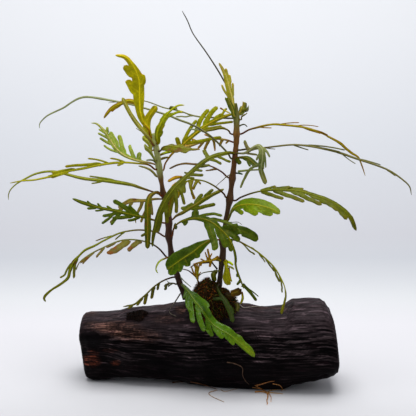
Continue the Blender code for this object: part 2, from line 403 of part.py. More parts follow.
def smooth_step(start, end, value):
    """0 before start and 1 after end, with a smooth turn between them."""
    t = min(max((value - start) / (end - start), 0), 1)
    return t * t * (3 - 2 * t)


def make_material(name):
    """A plain Principled material from the table of colours."""
    material = bpy.data.materials.get(name) or bpy.data.materials.new(name)
    material.use_nodes = True
    colour, roughness = COLOURS[name]
    shader = material.node_tree.nodes["Principled BSDF"]
    shader.inputs["Base Color"].default_value = (*colour, 1)
    shader.inputs["Roughness"].default_value = roughness
    shader.inputs["Metallic"].default_value = 0
    material.diffuse_color = (*colour, 1)
    return material


def add_object(name, data, colour):
    """Put a mesh or curve in the plant's collection, with its material."""
    item = bpy.data.objects.new(name, data)
    data.materials.append(make_material(colour))
    bpy.data.collections["hygrophila_on_driftwood"].objects.link(item)
    return item


def mesh_from(bm, name):
    """Turn a bmesh into a mesh with its faces pointing out, smooth but for its sharp edges."""
    bmesh.ops.recalc_face_normals(bm, faces=bm.faces)
    mesh = bpy.data.meshes.new(name)
    bm.to_mesh(mesh)
    bm.free()
    mesh.shade_smooth()
    mesh.set_sharp_from_angle(angle=SHARP_ANGLE)
    return mesh


def section_at(x):
    """The log's section at x, read smoothly between the sections of the table."""
    for low, high in zip(LOG_SECTIONS, LOG_SECTIONS[1:]):
        if x <= high[0]:
            t = smooth_step(low[0], high[0], x)
            return [a + (b - a) * t for a, b in zip(low[1:], high[1:])]
    return list(LOG_SECTIONS[-1][1:])


def rounded(turn):
    """The section's roundness: a circle's cosine and sine, made fuller, more so below."""
    power = 2 / (UPPER_FULLNESS if math.sin(turn) > 0 else LOWER_FULLNESS)
    return [math.copysign(abs(value) ** power, value) for value in (math.cos(turn), math.sin(turn))]


def log_point(x, angle, shrink=1.0):
    """A point of the log's skin in mm: angle 0 is its far side, 90 its top, 180 its front."""
    under, top, fullest, middle, half = section_at(x)
    side, rise = rounded(math.radians(angle))
    if rise < 0 and side < 0:
        in_shade = smooth_step(LEDGE_START, LEDGE_FULL, x)
        under_ledge = smooth_step(*LEDGE_FADE_ABOVE, rise) * smooth_step(*LEDGE_FADE_BELOW, rise)
        half -= LEDGE_DEPTH * in_shade * under_ledge
    y = middle + half * side * shrink
    reach = (top - fullest) if rise > 0 else (fullest - under)
    z = max(fullest + reach * rise * shrink, 0.0)
    lean = -LEFT_CUT_LEAN * min(z - fullest, 0) * smooth_step(LEFT_CUT_START, LOG_SECTIONS[0][0], x)
    lean -= RIGHT_CUT_LEAN * (z - fullest) * smooth_step(RIGHT_CUT_START, LOG_SECTIONS[-1][0], x)
    return Vector((x + lean, y, z))


def build_driftwood():
    """The log, a loft through its unlike sections, closed by a slightly domed cut at each end."""
    bm = bmesh.new()
    angles = [360 * step / LOG_SIDES for step in range(LOG_SIDES)]
    stations = sorted([section[0] for section in LOG_SECTIONS] + list(EXTRA_STATIONS))
    rings = [[bm.verts.new(log_point(x, angle) * MM) for angle in angles] for x in stations]
    for ring, following in zip(rings, rings[1:]):
        for step in range(LOG_SIDES):
            after = (step + 1) % LOG_SIDES
            bm.faces.new((ring[step], ring[after], following[after], following[step]))
    for ring, x, bulge in ((rings[0], stations[0], -CUT_BULGE), (rings[-1], stations[-1], CUT_BULGE)):
        inner = [log_point(x, angle, CUT_INNER_RING) + Vector((bulge, 0, 0)) for angle in angles]
        inner = [bm.verts.new(place * MM) for place in inner]
        for step in range(LOG_SIDES):
            after = (step + 1) % LOG_SIDES
            bm.faces.new((ring[step], ring[after], inner[after], inner[step]))
        bm.faces.new(inner)
    bmesh.ops.remove_doubles(bm, verts=bm.verts, dist=0.02 * MM)
    return add_object("driftwood", mesh_from(bm, "driftwood"), "driftwood")


def build_cushion(name, along, around, thickness):
    """A cushion of moss on the log, thick in the middle and thin at its edge."""
    bm = bmesh.new()
    lower, upper = {}, {}
    for i, (x, share) in enumerate(along):
        for j, angle in enumerate(around):
            skin = log_point(x, angle)
            along_log = log_point(x + 0.5, angle) - log_point(x - 0.5, angle)
            around_log = log_point(x, angle + 1) - log_point(x, angle - 1)
            out = around_log.cross(along_log).normalized()
            swell = share * math.sin(math.pi * (j + 0.5) / len(around))
            bump = 1 - BUMPS + BUMPS * math.sin(2.3 * i + 1.7 * j)
            depth = EDGE_THICKNESS + thickness * swell * bump
            lower[i, j] = bm.verts.new((skin + out * (GAP / MM)) * MM)
            upper[i, j] = bm.verts.new((skin + out * (GAP / MM + depth)) * MM)
    for i in range(len(along) - 1):
        for j in range(len(around) - 1):
            for level in (lower, upper):
                bm.faces.new((level[i, j], level[i + 1, j], level[i + 1, j + 1], level[i, j + 1]))
    rim = [(i, 0) for i in range(len(along))]
    rim += [(len(along) - 1, j) for j in range(1, len(around))]
    rim += [(i, len(around) - 1) for i in range(len(along) - 2, -1, -1)]
    rim += [(0, j) for j in range(len(around) - 2, 0, -1)]
    for here, there in zip(rim, rim[1:] + rim[:1]):
        bm.faces.new((lower[here], lower[there], upper[there], upper[here]))
    return add_object(name, mesh_from(bm, name), "moss")


def build_tube(name, places, radii, colour):
    """A round tube through the places, as a curve with filled caps."""
    data = bpy.data.curves.new(name, "CURVE")
    data.dimensions = "3D"
    data.bevel_depth = MM
    data.bevel_resolution = TUBE_RESOLUTION
    data.use_fill_caps = True
    spline = data.splines.new("POLY")
    spline.points.add(len(places) - 1)
    for point, place, radius in zip(spline.points, places, radii):
        point.co = (*place, 1)
        point.radius = radius / MM
    return add_object(name, data, colour)


def stem_line(table):
    """A stem's centre line and its radius at each point, in metres."""
    places = [seen(across, up, depth) for across, up, depth, radius in table]
    return places, [radius * MM for across, up, depth, radius in table]


def hit_from_above(place, trees):
    """The highest point of the given surfaces under a place."""
    start = Vector((place.x, place.y, ABOVE_ALL))
    hits = [tree.ray_cast(start, Vector((0, 0, -1)))[0] for tree in trees]
    return max((hit.z for hit in hits if hit), default=0)


def stand_on(places, radii, trees):
    """Lower or lift a stem's foot to a hair above what it grows on, clear all round its edge."""
    foot = places[0]
    around = ((0, 0), (1, 0), (-1, 0), (0, 1), (0, -1))
    ring = [foot + Vector((radii[0] * x, radii[0] * y, 0)) for x, y in around]
    height = max(hit_from_above(point, trees) for point in ring)
    places[0] = Vector((foot.x, foot.y, height + 2 * GAP))
    return places


def leave_stem(leaf, places, radii):
    """A leaf's midrib, started on the skin of its stem rather than on the stem's centre."""
    route = [seen(*point) for point in leaf.path]
    nearest = None
    for a, b, r, s in zip(places, places[1:], radii, radii[1:]):
        share = min(max((route[0] - a).dot(b - a) / (b - a).length_squared, 0), 1)
        point = a.lerp(b, share)
        distance = (route[0] - point).length
        if nearest is None or distance < nearest[0]:
            nearest = (distance, point, r + (s - r) * share, (b - a).normalized())
    distance, point, radius, upward = nearest
    outward = route[1] - point
    outward = (outward - upward * outward.dot(upward)).normalized()
    clear = radius + GAP + 0.5 * LEAF_THICKNESS
    second = point + outward * (clear + LEAF_FOOT) + upward * LEAF_FOOT_RISE
    return [point + outward * clear, second] + route[1:]


def lobe_spans(leaf, length):
    """Where each pair of lobes starts and ends, as shares of the midrib."""
    if leaf.pairs:
        half = 0.5 * leaf.lobe_width * MM / length
        return [(round(pair[0] - half, 4), round(pair[0] + half, 4)) for pair in leaf.pairs]
    count = len(leaf.left)
    step = (1 - leaf.stalk - leaf.tip) / max(count, 1)
    return [(round(leaf.stalk + step * lobe, 4), round(leaf.stalk + step * (lobe + 1), 4))
            for lobe in range(count)]


def evenly(start, end, least, length):
    """Shares from start to before end, at least this many and no further apart than a plain step."""
    count = max(least, math.ceil((end - start) * length / PLAIN_STEP))
    return [start + (end - start) * step / count for step in range(count)]


def leaf_rows(leaf, length):
    """The shares of the midrib at which the blade's outline is drawn, from stalk to tip."""
    middle = sorted({share for span in lobe_spans(leaf, length) for share in span})
    if not middle:
        middle = evenly(leaf.stalk, 1 - leaf.tip, 1, length) + [1 - leaf.tip]
    return evenly(0, middle[0], 2, length) + middle + evenly(middle[-1], 1, 2, length)[1:] + [1]


def half_width(leaf, share):
    """Half width of the blade between its lobes, or of the stalk, in mm."""
    stalk = STALK_HALF_WIDTH / MM
    place = min(max((share - leaf.stalk) / (1 - leaf.stalk - leaf.tip), 0), 1)
    blade = leaf.waist[0] + (leaf.waist[1] - leaf.waist[0]) * place
    width = stalk + (blade - stalk) * smooth_step(0.5 * leaf.stalk, leaf.stalk, share)
    if share > 1 - leaf.tip:
        over = (share - 1 + leaf.tip) / leaf.tip
        width *= math.sqrt(max(1 - over ** 2, 0))
    return max(width, TIP_HALF_WIDTH / MM)


def upper_sides(leaf, directions):
    """Where the leaf's upper side looks at each station, carried on from where it is clearest."""
    facing = Vector(leaf.facing).normalized()
    flat = [facing - ahead * facing.dot(ahead) for ahead in directions]
    best = max(range(len(flat)), key=lambda index: flat[index].length)
    normals = {best: flat[best].normalized()}
    for order in (range(best + 1, len(flat)), range(best - 1, -1, -1)):
        carried = normals[best]
        for index in order:
            ahead = directions[index]
            carried = (flat[index] + CARRY * (carried - ahead * carried.dot(ahead))).normalized()
            normals[index] = carried
    return [normals[index] for index in range(len(flat))]


def on_sight_line(across, up, through, normal):
    """Where the eye's line to (across, up) meets the plane through this point."""
    towards = (seen(across, up, 0) - eye()).normalized()
    return eye() + towards * (through - eye()).dot(normal) / towards.dot(normal)


def lobe_vector(leaf, lobe, side, base, ahead, out):
    """From the blade's edge to the tip of a lobe; side is 0 for left and 1 for right."""
    if leaf.pairs:
        tip = leaf.pairs[lobe][1 + side]
        return on_sight_line(*tip, base, out.cross(ahead)) - base if tip else Vector((0, 0, 0))
    turn = math.radians(leaf.sweep[side])
    length = (leaf.left, leaf.right)[side][lobe] * MM
    return (out * math.cos(turn) + ahead * math.sin(turn)) * length


def grow_lobe(bm, near, far, vector):
    """Draw a lobe out of the blade's edge between two points, narrowing to its tip."""
    middle, half = (near.co + far.co) / 2, (far.co - near.co) / 2
    upright = half - vector * half.dot(vector) / vector.length_squared
    for reach, width in LONG_LOBE if vector.length > LONG else SHORT_LOBE:
        edge = bm.edges.get((near, far))
        grown = bmesh.ops.extrude_edge_only(bm, edges=[edge])["geom"]
        verts = [item for item in grown if isinstance(item, bmesh.types.BMVert)]
        verts.sort(key=lambda vert: (vert.co - near.co).length)
        near, far = verts
        across = half.lerp(upright, reach) * width
        near.co = middle + vector * reach - across
        far.co = middle + vector * reach + across


def build_leaf(leaf, route):
    """One leaf: a flat strip bent along its midrib, its lobes drawn out of its edges, made thick."""
    line = curve_through(route)
    length = sum((b - a).length for a, b in zip(line, line[1:]))
    rows = leaf_rows(leaf, length)
    spots = [point_at(line, share) for share in rows]
    normals = upper_sides(leaf, [ahead for middle, ahead in spots])
    bm = bmesh.new()
    bmesh.ops.create_grid(bm, x_segments=2, y_segments=len(rows) - 1, size=1.0)
    verts = sorted(bm.verts, key=lambda vert: (round(vert.co.y, 6), vert.co.x))
    verts = [verts[3 * index:3 * index + 3] for index in range(len(rows))]
    sides = {}
    for index, share in enumerate(rows):
        middle, ahead = spots[index]
        across = normals[index].cross(ahead)
        blade = smooth_step(0, leaf.stalk, share) * (1 - smooth_step(1 - leaf.tip, 1, share))
        fall = math.radians(leaf.droop * blade)
        verts[index][1].co = middle
        for side, sign in ((0, 1), (1, -1)):
            out = across * sign * math.cos(fall) - normals[index] * math.sin(fall)
            verts[index][2 * side].co = middle + out * half_width(leaf, share) * MM
            sides[index, side] = out
    for lobe, (start, end) in enumerate(lobe_spans(leaf, length)):
        index = rows.index(start)
        for side in (0, 1):
            near, far = verts[index][2 * side], verts[index + 1][2 * side]
            out = (sides[index, side] + sides[index + 1, side]).normalized()
            ahead = (spots[index + 1][0] - spots[index][0]).normalized()
            vector = lobe_vector(leaf, lobe, side, (near.co + far.co) / 2, ahead, out)
            if vector.length > LEAST:
                grow_lobe(bm, near, far, vector)
    item = add_object(leaf.name, mesh_from(bm, leaf.name), leaf.colour)
    solid = item.modifiers.new("thickness", "SOLIDIFY")
    solid.thickness = LEAF_THICKNESS
    solid.offset = 0
    return item


def build_leaves(leaves, places, radii):
    """All leaves of one stem."""
    for leaf in leaves:
        build_leaf(leaf, leave_stem(leaf, places, radii))


def build_roots(wood):
    """The thick roots: those on the wood are laid on its skin, the last one on the ground."""
    lift = ROOT_RADIUS * MM + GAP
    for name, points in ROOTS_ON_WOOD.items():
        places = []
        for point in points:
            if len(point) == 3:
                places.append(seen(*point))
                continue
            towards = (seen(*point, 0) - eye()).normalized()
            hit, normal = wood.ray_cast(eye(), towards)[:2]
            places.append(hit + normal * lift)
        build_tube(name, places, [ROOT_RADIUS * MM] * len(places), "root")
    places = []
    for across, up in ROOT_ON_GROUND:
        towards = (seen(across, up, 0) - eye()).normalized()
        places.append(eye() + towards * (lift - eye().z) / towards.z)
    build_tube("root_on_ground", places, [ROOT_RADIUS * MM] * len(places), "root")


def tree_of(item):
    """A search tree over an object's mesh, for resting other pieces on it."""
    bm = bmesh.new()
    bm.from_mesh(item.data)
    tree = BVHTree.FromBMesh(bm)
    bm.free()
    return tree


def main():
    clear_scene()
    group = bpy.data.collections.new("hygrophila_on_driftwood")
    bpy.context.scene.collection.children.link(group)
    wood = tree_of(build_driftwood())
    mat = tree_of(build_cushion("moss_mat", MAT_ALONG, MAT_ROUND, MAT_THICKNESS))
    build_cushion("moss_patch", PATCH_ALONG, PATCH_ROUND, PATCH_THICKNESS)
    left_places, left_radii = stem_line(STEM_LEFT)
    right_places, right_radii = stem_line(STEM_RIGHT)
    stand_on(left_places, left_radii, (wood, mat))
    stand_on(right_places, right_radii, (wood, mat))
    build_tube("stem_left", left_places, left_radii, "stem")
    build_tube("stem_right", right_places, right_radii, "stem")
    build_leaves(LEAVES_ON_LEFT_STEM, left_places, left_radii)
    build_leaves(LEAVES_ON_RIGHT_STEM, right_places, right_radii)
    upper, lower = SPRIGS
    build_leaf(upper, leave_stem(upper, right_places, right_radii))
    build_leaf(lower, [seen(*point) for point in lower.path])
    build_roots(wood)


main()
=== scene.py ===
"""The looks of a water plant grown on a log of driftwood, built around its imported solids.

The camera stands where the photo was taken from. The tables give each point as that camera sees it:
millimetres across from the middle, millimetres up from the ground in front of the log, and millimetres
of depth, positive away from the eye. The function seen() turns such a point into a place.
"""
import math
import random
from dataclasses import dataclass

import bpy
import numpy as np
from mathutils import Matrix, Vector, kdtree, noise
from mathutils.bvhtree import BVHTree
from mathutils.geometry import delaunay_2d_cdt


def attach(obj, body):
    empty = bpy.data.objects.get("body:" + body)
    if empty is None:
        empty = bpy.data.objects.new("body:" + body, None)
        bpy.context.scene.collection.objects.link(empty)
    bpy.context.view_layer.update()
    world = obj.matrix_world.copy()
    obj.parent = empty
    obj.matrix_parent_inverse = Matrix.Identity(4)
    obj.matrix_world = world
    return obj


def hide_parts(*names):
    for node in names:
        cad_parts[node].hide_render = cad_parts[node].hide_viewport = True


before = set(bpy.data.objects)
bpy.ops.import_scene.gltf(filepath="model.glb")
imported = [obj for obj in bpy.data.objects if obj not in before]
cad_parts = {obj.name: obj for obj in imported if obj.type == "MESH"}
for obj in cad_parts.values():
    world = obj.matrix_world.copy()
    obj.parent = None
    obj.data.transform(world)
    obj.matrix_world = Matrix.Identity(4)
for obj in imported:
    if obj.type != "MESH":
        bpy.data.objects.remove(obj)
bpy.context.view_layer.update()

MM = 0.001
# The camera: how far it is from the point that it looks at, how high it stands, and the width that it shows
EYE_DISTANCE, EYE_ELEVATION, VIEW_WIDTH, SENSOR = 800 * MM, math.radians(12), 257 * MM, 36
AIM_UP = 111.8
AIM = Vector((0, 0, AIM_UP * MM))
# The upper side of a leaf that looks towards the camera
FACE_ON = (0, -1, 0.3)

# Points put in between two given ones along a smooth line
CURVE_STEPS = 12


def colour(text):
    """A linear colour from its six-figure form."""
    values = [int(text[start:start + 2], 16) / 255 for start in (0, 2, 4)]
    return np.array([v / 12.92 if v <= 0.04045 else ((v + 0.055) / 1.055) ** 2.4 for v in values])


def seen(across, up, depth):
    """Place of a point that the camera shows at (across, up), at this depth, all in mm."""
    x, y = across * MM, (up - AIM_UP) * MM
    sine, cosine = math.sin(EYE_ELEVATION), math.cos(EYE_ELEVATION)
    along = (depth * MM - y * sine) / (cosine + y * sine / EYE_DISTANCE)
    spread = 1 + along / EYE_DISTANCE
    return AIM + Vector((x * spread, y * spread * sine + along * cosine, y * spread * cosine - along * sine))


def shown(place):
    """Where the camera shows a place, as (across, up) in mm: the reverse of seen()."""
    sine, cosine = math.sin(EYE_ELEVATION), math.cos(EYE_ELEVATION)
    away = place - AIM
    along = away.y * cosine - away.z * sine
    spread = 1 + along / EYE_DISTANCE
    return away.x / spread / MM, (away.y * sine + away.z * cosine) / spread / MM + AIM_UP


EYE = AIM + Vector((0, -math.cos(EYE_ELEVATION), math.sin(EYE_ELEVATION))) * EYE_DISTANCE


def on_sight_line(across, up, through, normal):
    """Where the camera's line to (across, up) meets the plane through this point."""
    towards = (seen(across, up, 0) - EYE).normalized()
    return EYE + towards * (through - EYE).dot(normal) / towards.dot(normal)


def curve_through(points, steps=CURVE_STEPS):
    """A smooth line through the points, as many closer ones (Catmull and Rom's curve)."""
    ends = [points[0] * 2 - points[1]] + list(points) + [points[-1] * 2 - points[-2]]
    line = []
    for a, b, c, d in zip(ends, ends[1:], ends[2:], ends[3:]):
        for step in range(steps):
            t = step / steps
            line.append(0.5 * (b * 2 + (c - a) * t + (a * 2 - b * 5 + c * 4 - d) * t ** 2
                               + (b * 3 - a - c * 3 + d) * t ** 3))
    return line + [points[-1]]


def evenly_spaced(line, spacing):
    """The same line with its points about this far apart, and its length."""
    lengths = [(b - a).length for a, b in zip(line, line[1:])]
    total = sum(lengths)
    count = max(8, round(total / spacing))
    points, index, passed = [], 0, 0.0
    for step in range(count + 1):
        wanted = total * step / count
        while index < len(lengths) - 1 and passed + lengths[index] < wanted:
            passed += lengths[index]
            index += 1
        points.append(line[index].lerp(line[index + 1], (wanted - passed) / max(lengths[index], 1e-9)))
    return points, total


def smooth_step(start, end, value):
    """0 before start and 1 after end, with a smooth turn between them."""
    t = min(max((value - start) / (end - start), 0), 1)
    return t * t * (3 - 2 * t)


def mix(a, b, share):
    """From a to b, by this share."""
    return a + (b - a) * share


# Where the first side of a tube's rings looks
TUBE_GUIDE = (0.3, -0.2, 1.0)


class Surface:
    """Points and faces of one piece as they are collected, with a colour and a relief at each point."""

    def __init__(self):
        self.places, self.faces, self.tints, self.reliefs = [], [], [], []

    def add(self, place, tint, relief=0.0):
        """One more point; the result is its number."""
        self.places.append(place)
        self.tints.append(tint)
        self.reliefs.append(relief)
        return len(self.places) - 1

    def tube(self, places, radii, tint_at, sides):
        """A closed round tube, tinted by its share of the length."""
        rings = []
        side = None
        for index, (place, radius) in enumerate(zip(places, radii)):
            ahead = (places[min(index + 1, len(places) - 1)] - places[max(index - 1, 0)]).normalized()
            guide = side or Vector(TUBE_GUIDE)
            side = (guide - ahead * guide.dot(ahead)).normalized()
            other = ahead.cross(side)
            tint = tint_at(index / (len(places) - 1))
            ring = []
            for step in range(sides):
                turn = 2 * math.pi * step / sides
                off = side * (math.cos(turn) * radius) + other * (math.sin(turn) * radius)
                ring.append(self.add(place + off, tint))
            rings.append(ring)
        for low, high in zip(rings, rings[1:]):
            for step in range(sides):
                after = (step + 1) % sides
                self.faces.append((low[step], low[after], high[after], high[step]))
        self.faces.append(tuple(reversed(rings[0])))
        self.faces.append(tuple(rings[-1]))

    def build(self, name, slot, looks, *nodes):
        """The finished piece, in place of these solids."""
        mesh = bpy.data.meshes.new(name)
        mesh.from_pydata([tuple(place) for place in self.places], [], self.faces)
        mesh.validate()
        tints = np.ones((len(self.places), 4), np.float32)
        tints[:, :3] = np.clip(np.array(self.tints), 0.0, 1.0)
        layer = mesh.color_attributes.new("tint", "FLOAT_COLOR", "POINT")
        layer.data.foreach_set("color", tints.ravel())
        layer = mesh.attributes.new("relief", "FLOAT", "POINT")
        layer.data.foreach_set("value", np.array(self.reliefs, np.float32))
        mesh.shade_smooth()
        mesh.materials.append(looks)
        piece = bpy.data.objects.new(name, mesh)
        bpy.context.scene.collection.objects.link(piece)
        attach(piece, "root")
        if nodes:
            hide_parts(*nodes)


@dataclass
class Leaf:
    """One leaf, as the camera sees it.

    path is its midrib. widths are the half widths of its blade between the lobes, each with its share
    of the midrib: one for both sides, or the left and the right one, left as one walks out along the
    upper side. lobes are traced, in mm: where each one leaves the midrib and where its tip is
    seen (across, up), and its width. facing is where the upper side looks, droop how far both halves
    bend down, in degrees, and stalk and tip are the shares of the midrib where they bend less. tint
    multiplies the colours of its class, spread and spots stand in for its own, and skin is the look
    of its surface. A small leaf without widths has waist, its half width at both ends of the blade,
    and left and right, the lengths of its lobes from stalk to tip.
    """
    name: str
    colour: str
    path: tuple
    widths: tuple = ()
    lobes: tuple = ()
    facing: tuple = (0, -0.3, 1)
    stalk: float = 0.30
    tip: float = 0.15
    droop: float = 15
    waist: tuple = (1.2, 0.8)
    left: tuple = ()
    right: tuple = ()
    tint: tuple = (1, 1, 1)
    spread: str = ""
    spots: str = ""
    skin: str = ""


# Stem centre lines, foot to tip, with the radius at each point in millimetres
STEM_LEFT = (
    (-14, 55.5, 3, 1.9), (-15, 59, 3, 1.9), (-18, 67, 2, 1.7), (-22.3, 82.3, 1, 2.1), (-23.4, 89, 0, 1.7),
    (-24.1, 94, 0, 2.2), (-24.2, 102.5, 0, 2.1), (-24.2, 109, 0, 1.5), (-25.5, 115, 0, 1.5),
    (-27.6, 120.5, 0, 1.9), (-28.5, 126, -1, 1.4), (-30.3, 137, -2, 1.9), (-32, 149, -3, 1.7),
    (-33.8, 158, -3, 0.9),
)
STEM_RIGHT = (
    (6.6, 61, -4, 1.7), (8, 74, -3, 1.7), (9.3, 85, -2, 2.1), (8.7, 92.3, -1, 1.8), (10.2, 99, -1, 1.5),
    (12.3, 111, 0, 1.6), (13.4, 117, 0, 2.2), (14.3, 124, 1, 1.6), (15, 130, 1, 2.1), (15.9, 137, 1, 1.7),
    (17.4, 151, 3, 1.5), (17.6, 157.3, 3, 2), (17.6, 168, 3, 1.8), (16.8, 176.5, 3, 1),
)

